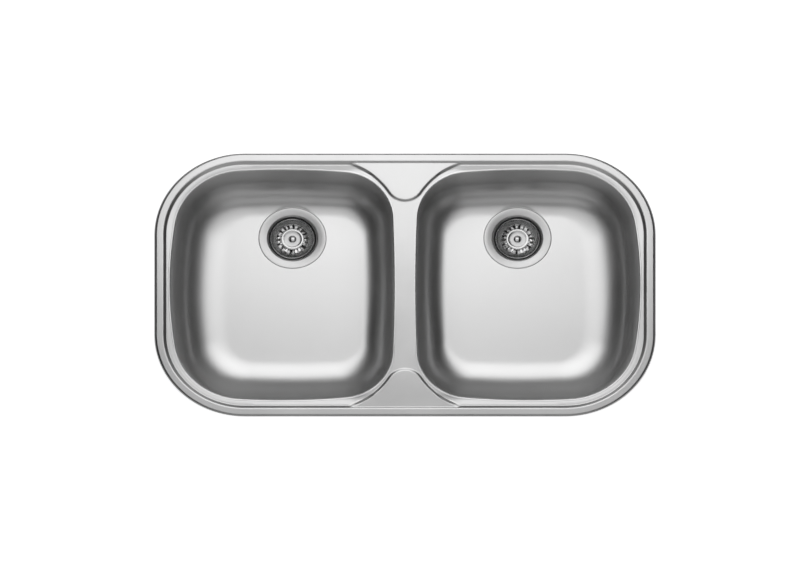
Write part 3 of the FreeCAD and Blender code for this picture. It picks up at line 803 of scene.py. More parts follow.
def settle(piece: Piece, body: str, finish: Finish, node: str) -> None:
    """Dress a finished piece, tie it to its body and let it stand for its solid.

    Args:
        piece: the finished piece.
        body: the body that it moves with.
        finish: its finish.
        node: the solid that it stands for.
    """
    piece.data.materials.clear()
    piece.data.materials.append(finish.material())
    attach(piece, body)
    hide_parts(node)
    LOG.info("%s: %d faces on %s, for %s", piece.name, len(piece.data.polygons), body, node)


def refinish(piece: Piece, finish: Finish, wanted: Callable[[Vector], bool]) -> None:
    """Give some faces of a piece a second finish.

    Args:
        piece: the dressed piece.
        finish: the second finish.
        wanted: tells by a face's middle, in mm, whether it takes it.
    """
    piece.data.materials.append(finish.material())
    number = len(piece.data.materials) - 1
    for face in piece.data.polygons:
        if wanted(face.center / MM):
            face.material_index = number


def dress_solid(node: str, finish: Finish) -> None:
    """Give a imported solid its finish.

    Args:
        node: the solid's name.
        finish: the finish.
    """
    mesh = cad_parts[node].data
    mesh.materials.clear()
    mesh.materials.append(finish.material())
    LOG.info("%s: solid dressed in %s", node, finish.name)


# ---------------------------------------------------------------------------
# Sub-assemblies
# ---------------------------------------------------------------------------


@dataclass(frozen=True)
class Outline:
    """A closed outline of four bowed sides and rounded corners, for the right hand."""

    outer: float
    inner: float
    back: float
    front: float
    bow_outer: float
    bow_inner: float
    bow_end: float
    corner_outer: float
    corner_inner: float
    side_steps: int = 30
    corner_steps: int = 22

    @staticmethod
    def _corner(first: tuple[Pair, float], second: tuple[Pair, float], radius: float, quarter: Pair) -> Pair:
        """Centre of the rounding between two bowed sides.

        Args:
            first: centre and radius of one side's bow.
            second: centre and radius of the other side's bow.
            radius: the rounding's radius.
            quarter: signs that tell which corner it is.

        Returns:
            The centre that touches both sides from within.
        """
        (one, far), (two, end) = first, second
        a, b = far - radius, end - radius
        dx, dy = two[0] - one[0], two[1] - one[1]
        apart = math.hypot(dx, dy)
        along = (a * a - b * b + apart * apart) / (2 * apart)
        across = math.sqrt(max(a * a - along * along, 0.0))
        middle = (one[0] + along * dx / apart, one[1] + along * dy / apart)
        found = [(middle[0] - s * across * dy / apart, middle[1] + s * across * dx / apart) for s in (1.0, -1.0)]
        return max(found, key=lambda point: point[0] * quarter[0] + point[1] * quarter[1])

    @staticmethod
    def _angle(centre: Pair, point: Pair) -> float:
        """Direction from one point to another, in radians."""
        return math.atan2(point[1] - centre[1], point[0] - centre[0])

    def points(self) -> tuple[np.ndarray, np.ndarray]:
        """Walk the outline, counter-clockwise.

        Returns:
            The points in mm and their outward directions.
        """
        middle = (self.outer + self.inner) / 2
        outer = ((self.outer - self.bow_outer, 0.0), self.bow_outer)
        inner = ((self.inner + self.bow_inner, 0.0), self.bow_inner)
        back = ((middle, self.back - self.bow_end), self.bow_end)
        front = ((middle, self.front + self.bow_end), self.bow_end)
        sides = (outer, back, inner, front)
        corners = (
            (self._corner(outer, back, self.corner_outer, (1, 1)), self.corner_outer),
            (self._corner(inner, back, self.corner_inner, (-1, 1)), self.corner_inner),
            (self._corner(inner, front, self.corner_inner, (-1, -1)), self.corner_inner),
            (self._corner(outer, front, self.corner_outer, (1, -1)), self.corner_outer),
        )
        places: list[Pair] = []
        outward: list[Pair] = []
        for index, (side, after) in enumerate(zip(sides, corners)):
            start = self._angle(side[0], corners[index - 1][0])
            turn = self._angle(side[0], after[0])
            end = self._angle(sides[(index + 1) % 4][0], after[0])
            runs = ((side, start, turn, self.side_steps), (after, turn, end, self.corner_steps))
            for (centre, radius), low, high, steps in runs:
                sweep = (high - low + math.pi) % (2 * math.pi) - math.pi
                for step in range(steps):
                    angle = low + sweep * step / steps
                    way = (math.cos(angle), math.sin(angle))
                    places.append((centre[0] + radius * way[0], centre[1] + radius * way[1]))
                    outward.append(way)
        return np.array(places), np.array(outward)


@dataclass
class Bowl:
    """One deep-drawn bowl with its rolled lip, drafted walls and sunk drain seat.

    The draft, in degrees, and the sweep, the height of the rounding at the floor as a share of its width, are
    given for the outer wall, the inner wall, the back and the front. The lip runs on under the ledge, and its
    edge is tucked a little further out and down.
    """

    hand: Hand
    mouth: Outline = Outline(403.4, 18.3, 219.0, -219.0, 770.0, 3200.0, 1200.0, 117.0, 90.0)
    foot: Outline = Outline(306.0, 74.5, 144.0, -128.0, 1500.0, 4000.0, 2600.0, 50.0, 46.0)
    floor: float = -169.0
    roll: float = 3.4
    roll_in: float = 1.7
    lip_runs: Pair = (1.2, 0.6)
    lip_tuck: Pair = (1.0, 0.5)
    sheet: float = 1.0
    drain: Pair = (193.0, 105.0)
    seat_radius: float = 58.0
    seat_margin: float = 1.2
    seat_edge: float = 0.4
    seat_round: float = 1.0
    seat_drop: float = 4.0
    drain_radius: float = 45.0
    drain_land: float = 4.0
    draft: tuple[float, float, float, float] = (7.0, 1.2, 5.5, 4.5)
    sweep: tuple[float, float, float, float] = (0.6, 1.0, 1.0, 1.0)
    floor_ease: float = 0.25
    probe: float = 4.0
    roll_steps: int = 10
    wall_steps: int = 12
    sweep_steps: int = 30
    floor_steps: int = 12
    seat_steps: int = 4

    def section(
        self, draft: float, sweep: float, reach: float, stop: float, level: float, slope: float
    ) -> np.ndarray:
        """The wall's section, from under the ledge to the flat of the floor.

        Args:
            draft: lean of the wall in degrees.
            sweep: height of the rounding at the floor, as a share of its width.
            reach: distance in from the mouth to the flat of the floor.
            stop: distance in where the section ends, at most the reach.
            level: height of the ledge at the mouth.
            slope: fall of the ledge towards the mouth, in degrees.

        Returns:
            Distance in from the mouth and height of each point.
        """
        lean, lip = math.radians(draft), math.radians(slope)
        rolled = arc((self.roll_in - self.roll, level - self.roll), self.roll, 90.0 - slope, draft, self.roll_steps)
        start = rolled[0]
        outer = [(start[0] - run * math.cos(lip), start[1] + run * math.sin(lip)) for run in self.lip_runs]
        points = [(outer[0][0] - self.lip_tuck[0], outer[0][1] - self.lip_tuck[1])] + outer + rolled
        top = points[-1]
        turn = math.atan(sweep * math.tan(lean))
        wide = (reach - top[0] - (top[1] - self.floor) * math.tan(lean)) / (
            math.cos(turn) - sweep * (1 - math.sin(turn)) * math.tan(lean)
        )
        foot = (reach - wide * math.cos(turn), self.floor + sweep * wide * (1 - math.sin(turn)))
        points += between(top, foot, self.wall_steps)
        short = math.degrees(math.asin(min(max((reach - stop) / wide, 0.0), 1.0)))
        rounding = arc((0.0, 0.0), wide, 180.0 + math.degrees(turn), 270.0 - short, self.sweep_steps)
        return np.array(points + [(reach + x, self.floor + sweep * (wide + z)) for x, z in rounding])

    def build(self) -> Piece:
        """Model the bowl.

        Returns:
            The finished mesh.
        """
        points, outward = self.mouth.points()
        flat, _ = self.foot.points()
        weights = np.concatenate([np.clip(outward, 0, None), np.clip(-outward, 0, None)], axis=1)[:, [0, 2, 1, 3]] ** 2
        drafts, sweeps = weights @ np.array(self.draft), weights @ np.array(self.sweep)
        deck = Deck()
        levels = np.array([deck.ledge_level(*point) for point in points])
        ahead = np.array([deck.ledge_level(*point) for point in points + outward * self.probe])
        slopes = np.degrees(np.arctan2(ahead - levels, self.probe))
        reach = np.linalg.norm(flat - points, axis=1)
        way = (flat - points) / reach[:, None]
        stop = self._stop(points, way, reach)
        sections = np.stack([self.section(*values) for values in zip(drafts, sweeps, reach, stop, levels, slopes)])
        rings = np.zeros((sections.shape[1], len(points), 3))
        for index, ring in enumerate(rings):
            ring[:, :2] = points + way * sections[:, index, :1]
            ring[:, 2] = sections[:, index, 1]
        rings = np.concatenate([rings, self._floor(rings[-1])])
        if self.hand is Hand.LEFT:
            rings[:, :, 0] *= -1
            rings = rings[:, ::-1]
        piece = Bench.loft(f"{self.hand.word}_bowl_skin", rings)
        Bench.face_up(piece)
        Bench.apply(piece, "SOLIDIFY", thickness=self.sheet * MM, offset=-1.0)
        return Bench.shade(piece)

    def _stop(self, points: np.ndarray, way: np.ndarray, reach: np.ndarray) -> np.ndarray:
        """How far in each section runs: to the flat of the floor, or to the drain's seat if that comes first.

        Args:
            points: the mouth's points.
            way: directions of the sections.
            reach: distance from each point to the flat.

        Returns:
            The distances in mm.
        """
        away = points - np.array(self.drain)
        along = (way * away).sum(axis=1)
        inside = along**2 - (away**2).sum(axis=1) + (self.seat_radius + 2 * self.seat_margin) ** 2
        meets = -along - np.sqrt(np.clip(inside, 0.0, None))
        return np.where((inside > 0.0) & (meets < reach), meets, reach)

    def _floor(self, edge: np.ndarray) -> np.ndarray:
        """Rings of the floor, from its outline to the edge of the drain's hole.

        Args:
            edge: last ring of the wall's sections.

        Returns:
            The rings in mm.
        """
        away = edge[:, :2] - np.array(self.drain)
        reach = np.linalg.norm(away, axis=1)
        way = away / reach[:, None]
        rise = edge[:, 2] - self.floor
        start = self.seat_radius + self.seat_margin
        steps = []
        for step in range(1, self.floor_steps):
            share = step / self.floor_steps
            steps.append((start + (reach - start) * (1.0 - share), rise * (1.0 - self.floor_ease * share)))
        rim = arc((self.seat_radius + self.seat_edge, -self.seat_edge), self.seat_edge, 90.0, 180.0, self.seat_steps)
        for radius, height in [(start, 0.0)] + rim:
            steps.append((np.full(len(edge), radius), height + rise * (1.0 - self.floor_ease)))
        corner = (self.seat_radius - self.seat_round, self.seat_round - self.seat_drop)
        seat = arc(corner, self.seat_round, 0.0, -90.0, self.seat_steps)
        seat += [(self.drain_radius + land, -self.seat_drop) for land in (self.drain_land, 0.0)]
        steps += [(np.full(len(edge), radius), np.full(len(edge), height)) for radius, height in seat]
        rings = np.zeros((len(steps), len(edge), 3))
        for ring, (distance, height) in zip(rings, steps):
            ring[:, :2] = np.array(self.drain) + way * distance[:, None]
            ring[:, 2] = self.floor + height
        return rings

    def dress(self, piece: Piece) -> None:
        """Finish the bowl and let it stand for its solid."""
        settle(piece, SINK, BOWL_STEEL, f"{self.hand.word}_bowl")


@dataclass
class Strainer:
    """One basket strainer: cup, gaskets and waste body below, plug with knob above.

    The sections give radius and height of each point, with the heights measured from the bowl's floor.
    """

    hand: Hand
    drain: Pair = (193.0, 105.0)
    floor: float = -169.0
    hole_count: int = 6
    hole_ring: float = 22.4
    hole_width: float = 14.0
    hole_span: Pair = (-56.0, -50.0)
    bars: int = 18
    slices: int = 5
    open_slices: int = 2
    slot_span: Pair = (19.4, 27.2)
    dish_sheet: float = 0.9
    bar_round: float = 0.5
    arm_count: int = 3
    rib_count: int = 12
    # Below this height and inside this radius the cup's inside is painted dark: painted shade under the basket.
    inner_top: float = -18.5
    inner_radius: float = 37.5
    knob_face: float = 14.8

    @property
    def axis(self) -> Pair:
        """X and Y of the strainer's axis in mm."""
        return (self.hand.value * self.drain[0], self.drain[1])

    def _name(self, word: str) -> str:
        """A piece's name with its hand."""
        return f"{self.hand.word}_{word}"

    def _radius(self, spot: Vector) -> float:
        """Distance of a point from the strainer's axis in mm."""
        return math.hypot(spot.x - self.axis[0], spot.y - self.axis[1])

    def _turned(self, word: str, profile: Sequence[Pair], sides: int = 96) -> Piece:
        """Turn a section round the strainer's axis."""
        section = [(radius, self.floor + height) for radius, height in profile]
        return Bench.turn(self._name(word), self.axis, section, sides)

    def cup(self) -> Piece:
        """The cup: flange, rolled throat, shoulder for the seal and pierced bottom.

        Returns:
            The finished mesh.
        """
        profile = [(57.8, -1.4)] + arc((57.2, -0.6), 0.6, 0.0, 85.0, 4) + [(55.0, 0.05), (50.0, -0.75), (46.5, -1.37)]
        profile += arc((45.6, -6.6), 5.0, 100.0, 178.0, 14)
        profile += [(40.5, -9.0), (40.4, -16.0), (39.8, -16.9), (38.2, -17.0), (37.4, -17.6), (37.3, -20.0)]
        profile += [(37.0, -48.0)] + arc((33.0, -48.0), 4.0, 0.0, -90.0, 6) + [(3.4, -52.0)]
        profile += [(3.4, -53.2), (33.0, -53.2)] + arc((33.0, -48.2), 5.0, -90.0, 0.0, 6)
        profile += [(38.3, -20.0), (38.5, -18.2), (42.3, -17.6), (42.6, -9.0), (43.4, -6.2), (45.6, -3.4)]
        profile += [(48.0, -2.6), (52.0, -2.0), (57.4, -1.9), (57.8, -1.4)]
        piece = self._turned("strainer_bowl", profile, 120)
        low, high = (self.floor + height for height in self.hole_span)
        holes = []
        for index in range(self.hole_count):
            angle = math.radians(360 / self.hole_count * index)
            x = self.axis[0] + self.hole_ring * math.cos(angle)
            y = self.axis[1] + self.hole_ring * math.sin(angle)
            holes.append(Bench.prism("hole", (x, y), self.hole_width, low, high, 32))
        Bench.cut(piece, Bench.join(holes, "holes"))
        return Bench.shade(piece)

    def _slotted(self, face: bpy.types.MeshPolygon) -> bool:
        """Tell whether a face of the dish lies where a slot is pierced.

        Args:
            face: the face.

        Returns:
            True in a slot.
        """
        away = face.center / MM - Vector((*self.axis, 0.0))
        share = (math.degrees(math.atan2(away.y, away.x)) / 360.0 * self.bars) % 1.0
        low, high = self.slot_span
        return low < math.hypot(away.x, away.y) < high and share < self.open_slices / self.slices

    def basket(self) -> Piece:
        """The dish: a rolled collar, a cone and a ring of slots round the floor.

        Returns:
            The finished mesh.
        """
        profile = [(37.6, -11.4), (37.0, -11.1), (36.3, -11.5), (36.1, -13.0), (36.0, -16.6), (35.2, -18.2)]
        profile += [(32.0, -21.9), (29.6, -25.0), (28.6, -26.0), (27.2, -26.8), (23.4, -27.8), (19.5, -28.8)]
        profile += [(17.5, -29.2), (10.0, -29.4), (3.2, -29.4)]
        piece = self._turned("basket_dish", profile, self.bars * self.slices)
        with Bench.picking(piece, Part.FACE, self._slotted):
            bpy.ops.mesh.delete(type="FACE")
        Bench.face_up(piece)
        Bench.apply(piece, "SOLIDIFY", thickness=self.dish_sheet * MM, offset=-1.0, use_even_offset=True)
        return Bench.soften(piece, 0.25, 50.0)

    def seal(self) -> Piece:
        """The rubber ring round the dish, with two soft lips.

        Returns:
            The finished mesh.
        """
        profile = [(37.1, -17.0), (39.2, -17.0)] + arc((39.2, -16.2), 0.8, -90.0, 90.0, 6)
        profile += [(38.9, -15.2)] + arc((39.2, -14.2), 0.9, -90.0, 90.0, 6)
        profile += [(38.2, -13.1), (37.1, -13.2), (37.1, -17.0)]
        return Bench.shade(self._turned("seal_ring", profile))

    def knob(self) -> Piece:
        """The pull knob: a neck, a thick rolled edge and a shallow dished face.

        Returns:
            The finished mesh.
        """
        profile = [(3.2, -28.0), (8.0, -28.0), (7.6, -26.0)] + arc((9.6, -26.0), 2.0, 180.0, 90.0, 5)
        profile += [(16.5, -24.4), (18.3, -23.2), (19.3, -21.6)] + arc((18.4, -21.0), 1.0, 0.0, 90.0, 6)
        profile += [(17.2, -19.9), (15.6, -20.1), (14.6, -20.5), (13.0, -20.9), (9.0, -20.75)]
        profile += [(3.2, -20.6), (3.2, -28.0)]
        return Bench.shade(self._turned("knob_cap", profile))

    def stem(self) -> Piece:
        """The screw through knob and dish: a domed head and a threaded end.

        Returns:
            The finished mesh.
        """
        profile = [(0.3, -36.0), (2.2, -36.0), (2.7, -35.4), (2.7, -29.6), (3.0, -29.4), (3.0, -20.9), (6.6, -20.9)]
        profile += [(6.8, -20.6), (6.8, -20.1)] + arc((0.0, -30.6), 12.6, 57.3, 88.6, 12)
        piece = self._turned("stem_screw", profile, 48)
        Bench.close(piece)
        ridge = Bench.thread(self.axis, 3.0, self.floor - 35.6, self.floor - 29.6, 1.0)
        return Bench.shade(Bench.join([piece, ridge], piece.name))

    def waste(self) -> Piece:
        """The moulded waste body: collar, bell, threaded spigot and the spider that holds the nut.

        Returns:
            The finished mesh.
        """
        profile = [(20.5, -110.0), (22.6, -110.0), (23.0, -109.4), (23.0, -90.6), (25.2, -89.6), (26.0, -88.0)]
        profile += [(43.0, -72.6), (46.0, -70.6), (47.0, -68.0), (47.0, -12.4), (47.6, -11.2), (52.0, -11.0)]
        profile += [(53.0, -10.0), (53.0, -8.0), (52.2, -7.0), (44.4, -7.0), (44.0, -7.6), (44.0, -67.0)]
        profile += [(42.6, -69.4), (22.4, -86.6), (20.5, -90.0), (20.5, -110.0)]
        hub = [(3.4, -67.0), (9.0, -67.0), (9.0, -55.6), (8.4, -55.0), (3.4, -55.0), (3.4, -67.0)]
        parts = [self._turned("waste_moulding", profile)]
        parts.append(Bench.thread(self.axis, 23.9, self.floor - 109.2, self.floor - 91.0, 2.31))
        parts.append(self._turned("hub", hub, 48))
        parts += self._bars((8.0, -1.5, -66.0), (44.6, 1.5, -58.0), self.arm_count, 90.0)
        parts += self._bars((46.5, -1.0, -30.0), (51.0, 1.0, -11.0), self.rib_count, 15.0)
        return Bench.shade(Bench.join(parts, self._name("waste_moulding")))

    def _bars(self, low: Triple, high: Triple, count: int, first: float) -> list[Piece]:
        """Moulded bars that point away from the axis: the spider's arms or the collar's ribs.

        Args:
            low: distance from the axis, place across and height of a bar's lowest corner.
            high: the same of its highest corner.
            count: number of bars.
            first: direction of the first bar in degrees.

        Returns:
            The rounded bars.
        """
        size = [b - a for a, b in zip(low, high)]
        middle = [(a + b) / 2 for a, b in zip(low, high)]
        bars = []
        for index in range(count):
            bar = Bench.block("bar", middle, size)
            Bench.apply(bar, "BEVEL", width=self.bar_round * MM, segments=Bench.edge_segments)
            angle = math.radians(first + 360 / count * index)
            with Bench.editing(bar):
                bpy.ops.transform.rotate(value=-angle, orient_axis="Z", center_override=(0, 0, 0))
                bpy.ops.transform.translate(value=(self.axis[0] * MM, self.axis[1] * MM, self.floor * MM))
            bars.append(bar)
        return bars

    def screw(self) -> Piece:
        """The centre screw that pulls cup and waste body together.

        Returns:
            The finished mesh.
        """
        profile = [(0.3, -67.0), (2.4, -67.0), (2.8, -66.4), (2.8, -52.0), (6.0, -52.0), (6.0, -50.6), (5.4, -49.6)]
        profile += [(3.6, -48.95), (2.2, -48.8), (2.2, -50.6), (0.3, -50.6)]
        piece = self._turned("bottom_screw", profile, 48)
        Bench.close(piece)
        return Bench.shade(piece)

    def nut(self) -> Piece:
        """The nut under the dish, its corners turned off."""
        piece = Bench.prism(self._name("dish_nut"), self.axis, 10.0, self.floor - 33.0, self.floor - 29.6)
        return Bench.soften(piece, 0.4, 30.0)

    def build(self) -> dict[str, Piece]:
        """Model every turned piece of the strainer.

        Returns:
            The pieces by the plain names of their solids.
        """
        return {
            "strainer_cup": self.cup(),
            "basket": self.basket(),
            "basket_seal": self.seal(),
            "knob": self.knob(),
            "stem": self.stem(),
            "waste_body": self.waste(),
            "centre_screw": self.screw(),
            "stem_nut": self.nut(),
        }

    def dress(self, pieces: dict[str, Piece]) -> None:
        """Finish the pieces and let them stand for their solids.

        Args:
            pieces: the pieces by the plain names of their solids.
        """
        flange = TurnedSteel(self._name("flange_steel"), self.axis, 0.47, 0.51, 0.32, 0.38)
        bright = TurnedSteel(self._name("plug_steel"), self.axis, 0.46, 0.52, 0.14, 0.20)
        pressed = TurnedSteel(self._name("basket_steel"), self.axis, 0.74, 0.80, 0.20, 0.26)
        satin = TurnedSteel(self._name("knob_steel"), self.axis, 0.46, 0.50, 0.30, 0.36)
        # Near-black steel for the cup's inside under the basket: painted shade, where little light reaches down
        # through the slots.
        painted_cup_shade = TurnedSteel(self._name("inner_steel"), self.axis, 0.10, 0.16, 0.45, 0.55)
        plug = self._name("plug")
        for word, body, slot, finish in (
            ("strainer_cup", SINK, Slot.POLISHED, flange),
            ("basket", plug, Slot.POLISHED, pressed),
            ("basket_seal", plug, Slot.RUBBER, RUBBER),
            ("knob", plug, Slot.POLISHED, satin),
            ("stem", plug, Slot.POLISHED, bright),
            ("stem_nut", plug, Slot.POLISHED, bright),
            ("waste_body", SINK, Slot.PLASTIC, PLASTIC),
            ("centre_screw", SINK, Slot.POLISHED, bright),
        ):
            settle(pieces[word], body, finish, self._name(word))
        # Painted shade: the cup's faces that lie low and inside the shoulder take the near-black steel.
        inner_top = self.floor + self.inner_top
        refinish(pieces["strainer_cup"], painted_cup_shade, lambda s: s.z < inner_top and self._radius(s) < self.inner_radius)
        refinish(pieces["knob"], bright, lambda s: self._radius(s) > self.knob_face)
        for word, finish in (("flange_gasket", RUBBER), ("body_gasket", RUBBER), ("insert_nut", BRASS)):
            dress_solid(self._name(word), finish)


@dataclass
class SoundPad:
    """The rubber pad under one bowl's floor, with a ribbed underside."""

    hand: Hand
    centre: Pair = (193.0, -55.0)
    width: float = 150.0
    depth: float = 110.0
    thick: float = 3.0
    top: float = -170.0
    corner: float = 12.0
    corner_steps: int = 8
    groove_count: int = 7
    groove_apart: float = 20.0
    groove_width: float = 5.0
    groove_height: float = 1.6
    groove_margin: float = 11.0

    def build(self) -> Piece:
        """Model the pad.

        Returns:
            The finished mesh.
        """
        x, y = self.hand.value * self.centre[0], self.centre[1]
        low = self.top - self.thick
        middle = (x, y, self.top - self.thick / 2)
        pad = Bench.block(f"{self.hand.word}_pad_slab", middle, (self.width, self.depth, self.thick))
        with Bench.picking(pad, Part.EDGE, lambda edge: self._rise(pad, edge) > MM):
            bpy.ops.mesh.bevel(offset=self.corner * MM, segments=self.corner_steps, affect="EDGES")
        size = (self.groove_width, self.depth - 2 * self.groove_margin, self.groove_height)
        grooves = []
        for index in range(self.groove_count):
            shift = (index - self.groove_count // 2) * self.groove_apart
            grooves.append(Bench.block("groove", (x + shift, y, low), size))
        Bench.cut(pad, Bench.join(grooves, "grooves"))
        return Bench.soften(pad, 0.35, 50.0)

    @staticmethod
    def _rise(pad: Piece, edge: bpy.types.MeshEdge) -> float:
        """Rise of an edge of the pad in metres."""
        low, high = (pad.data.vertices[index].co.z for index in edge.vertices)
        return abs(high - low)

    def dress(self, piece: Piece) -> None:
        """Finish the pad and let it stand for its solid."""
        settle(piece, SINK, PAD_RUBBER, f"{self.hand.word}_sound_pad")


@dataclass
class Clips:
    """The clips under the rim: welded rails, bolts, nuts and swinging claws."""

    line: float = 232.6
    middle: float = 210.85
    spread: float = 70.0

    def spots(self) -> list[Pair]:
        """X and Y of the eight bolts in mm, in pairs on each rail.

        Returns:
            The spots.
        """
        return [
            (hand.value * self.middle + step * self.spread, side.value * self.line)
            for side in Side
            for hand in Hand
            for step in (-1, 1)
        ]

    def bolts(self) -> Piece:
        """The eight bolts, one modelled and the rest copied.

        Returns:
            The joined bolts.
        """
        spots = self.spots()
        profile = [(0.3, -62.0), (1.7, -62.0), (2.1, -61.4), (2.1, -13.8), (4.2, -13.8), (4.4, -13.4), (4.4, -11.8)]
        profile += [(4.0, -11.0), (3.0, -10.6), (0.3, -10.4)]
        shank = Bench.turn("bolt", spots[0], profile, 32)
        Bench.close(shank)
        ridge = Bench.thread(spots[0], 2.5, -61.4, -15.0, 0.8)
        return Bench.repeat(Bench.join([shank, ridge], "bolt"), spots, "clip_bolt_set")

    def nuts(self) -> Piece:
        """The eight nuts under the claws.

        Returns:
            The joined nuts.
        """
        spots = self.spots()
        first = Bench.soften(Bench.prism("nut", spots[0], 8.0, -50.0, -46.0), 0.35, 30.0)
        return Bench.repeat(first, spots, "clip_nut_set")

    def dress(self, bolts: Piece, nuts: Piece) -> None:
        """Finish the clips.

        Args:
            bolts: the joined bolts.
            nuts: the joined nuts.
        """
        settle(bolts, SINK, ZINC, "clip_bolts")
        settle(nuts, SINK, ZINC, "clip_nuts")
        for side in Side:
            for hand in Hand:
                for word in ("rail", "claw_1", "claw_2"):
                    dress_solid(f"{side.word}_{hand.word}_{word}", ZINC)


@dataclass
class Lines:
    """Lines in plan that the faces of a sheet keep to."""

    spots: list[Vector] = field(default_factory=list)
    edges: list[tuple[int, int]] = field(default_factory=list)

    def add(self, points: Iterable[Sequence[float]], closed: bool = False) -> None:
        """Add a line.

        Args:
            points: X and Y of its points in mm.
            closed: join its last point to its first.
        """
        first = len(self.spots)
        self.spots.extend(Vector((float(point[0]), float(point[1]))) for point in points)
        last = len(self.spots) - 1
        self.edges.extend((index, index + 1) for index in range(first, last))
        if closed:
            self.edges.append((last, first))


@dataclass
class Deck:
    """The pressed top sheet with its raised rim, sloped ledge and platforms, and the foam under its rim.

    Heights are from the worktop. The band, the ledge's lines and what starts on the ledge are given by their
    distance in from the rim's outer edge, and the platforms' lines by their distance in from a platform's foot.
    """

    half_width: float = 430.0
    half_depth: float = 250.0
    corner: float = 155.0
    sheet: float = 1.0
    top: float = 5.5
    edge_round: float = 5.0
    edge_foot: float = 0.05
    band: float = 15.0
    band_lines: Pair = (7.5, 11.0)
    step_lean: float = 35.0
    step_round: float = 6.0
    foot_round: float = 4.0
    foot_land: float = 0.6
    ledge: float = 1.25
    ledge_start: float = 22.95
    ledge_fall: float = 0.16
    level_start: float = 31.0
    level_run: float = 14.0
    ledge_lines: Triple = (23.6, 24.6, 26.0)
    line_reach: Pair = (262.0, 200.0)
    line_merge: float = 0.0001
    lip_gap: float = 2.8
    ring_gap: float = 5.0
    ring_clear: float = 3.0
    platform_top: float = 3.5
    platform_lean: float = 20.0
    platform_soft: float = 0.3
    platform_lines: tuple[float, ...] = (-0.3, 0.5, 1.3, 2.1)
    platform_clear: float = 1.2
    platform_reach: float = 130.0
    fillet: float = 0.8
    hollow_centre: Pair = (139.0, 107.25)
    hollow: float = 128.0
    nose_centre: float = 192.4
    nose: float = 35.0
    shade_start: float = 0.5
    shade_probe: float = 0.2
    wall_normal: float = 0.6
    corner_steps: int = 26
    long_steps: int = 190
    short_steps: int = 22

    @property
    def foot(self) -> float:
        """Distance in from the rim's outer edge to the foot of its step."""
        run = (self.top - self.ledge) / math.tan(math.radians(self.step_lean))
        return self.band + run + self.foot_round * math.tan(math.radians(self.step_lean / 2))

    @property
    def platform_run(self) -> float:
        """Width in plan of a platform's slope."""
        return (self.platform_top - self.ledge) / math.tan(math.radians(self.platform_lean))

    def inset(self, x: float, y: float) -> float:
        """Distance in from the rim's outer edge.

        Args:
            x: place in mm.
            y: place in mm.

        Returns:
            The distance in mm, less than 0 outside the rim.
        """
        across = abs(x) - (self.half_width - self.corner)
        along = abs(y) - (self.half_depth - self.corner)
        outside = math.hypot(max(across, 0.0), max(along, 0.0))
        return self.corner - outside - min(max(across, along), 0.0)

    def ledge_level(self, x: float, y: float) -> float:
        """Height of the ledge, which falls towards the bowls and is level on the divider.

        Args:
            x: place in mm.
            y: place in mm.

        Returns:
            The height in mm.
        """
        inset = self.inset(x, y)
        fall = self.ledge_fall * max(inset - self.ledge_start, 0.0)
        return self.ledge - fall * (1.0 - ease((inset - self.level_start) / self.level_run))

    def platform_depth(self, x: float, y: float) -> float:
        """Distance in from the foot of the nearer platform.

        Args:
            x: place in mm.
            y: place in mm.

        Returns:
            The distance in mm, less than 0 outside the platform.
        """
        across, along = abs(x), abs(y)
        centre_x, centre_y = self.hollow_centre
        if across > centre_x:
            return centre_x - across - self.nose
        side = (centre_x, centre_y - self.nose_centre)
        away = (across, along - self.nose_centre)
        if away[1] < 0 and away[0] * -side[1] < side[0] * -away[1]:
            return self.nose - math.hypot(*away)
        return math.hypot(across - centre_x, along - centre_y) - self.hollow

    def platform_share(self, x: float, y: float) -> float:
        """How far the sheet has risen at a place: 0 on the ledge to 1 on a platform."""
        soft = self.platform_soft
        return ease((self.platform_depth(x, y) + soft) / (self.platform_run + 2 * soft))

    def level(self, x: float, y: float) -> float:
        """Height of the sheet inside the rim: ledge, divider and platforms."""
        low = self.ledge_level(x, y)
        return low + (self.platform_top - low) * self.platform_share(x, y)

    def step_level(self, x: float, y: float, height: float) -> float:
        """Height of the rim's step where a platform may run into it, with a small fillet.

        Args:
            x: place in mm.
            y: place in mm.
            height: height of the step's own section there.

        Returns:
            The height in mm.
        """
        level = self.level(x, y)
        fillet = max(self.fillet * self.platform_share(x, y), 0.001)
        near = max(1.0 - abs(level - height) / fillet, 0.0)
        return max(level, height) + fillet * near * near / 4.0

    def _loop(self, inset: float) -> list[Pair]:
        """A loop at one distance in from the rim's outer edge.

        Args:
            inset: the distance in mm.

        Returns:
            The points, counter-clockwise.
        """
        flat_x, flat_y = self.half_width - self.corner, self.half_depth - self.corner
        centres = ((flat_x, flat_y), (-flat_x, flat_y), (-flat_x, -flat_y), (flat_x, -flat_y))
        corners = []
        for quarter, centre in enumerate(centres):
            start = 90.0 * quarter
            corners.append(arc(centre, self.corner - inset, start, start + 90.0, self.corner_steps))
        points: list[Pair] = []
        for quarter, corner in enumerate(corners):
            steps = self.short_steps if quarter % 2 else self.long_steps
            points += corner + between(corner[-1], corners[(quarter + 1) % 4][0], steps)
        return points

    def _rim_profile(self) -> list[Pair]:
        """The rim's section: rolled edge, band, step and its foot.

        Returns:
            Distance in from the edge and height of each point.
        """
        edge_steps, round_steps, slope_steps, band_end = 10, 8, 5, 1.0
        lean, foot = self.step_lean, self.foot
        crest_start = self.band - self.step_round * math.tan(math.radians(lean / 2))
        edge = arc((self.edge_round, self.top - self.edge_round), self.edge_round, 180.0, 90.0, edge_steps)
        band = [(inset, self.top) for inset in (*self.band_lines, crest_start - band_end)]
        crest = arc((crest_start, self.top - self.step_round), self.step_round, 90.0, 90.0 - lean, round_steps)
        toe = arc((foot, self.ledge + self.foot_round), self.foot_round, 270.0 - lean, 270.0, round_steps)
        slope = between(crest[-1], toe[0], slope_steps)
        return [(0.0, self.edge_foot)] + edge + band + crest + slope + toe + [(foot + self.foot_land, self.ledge)]

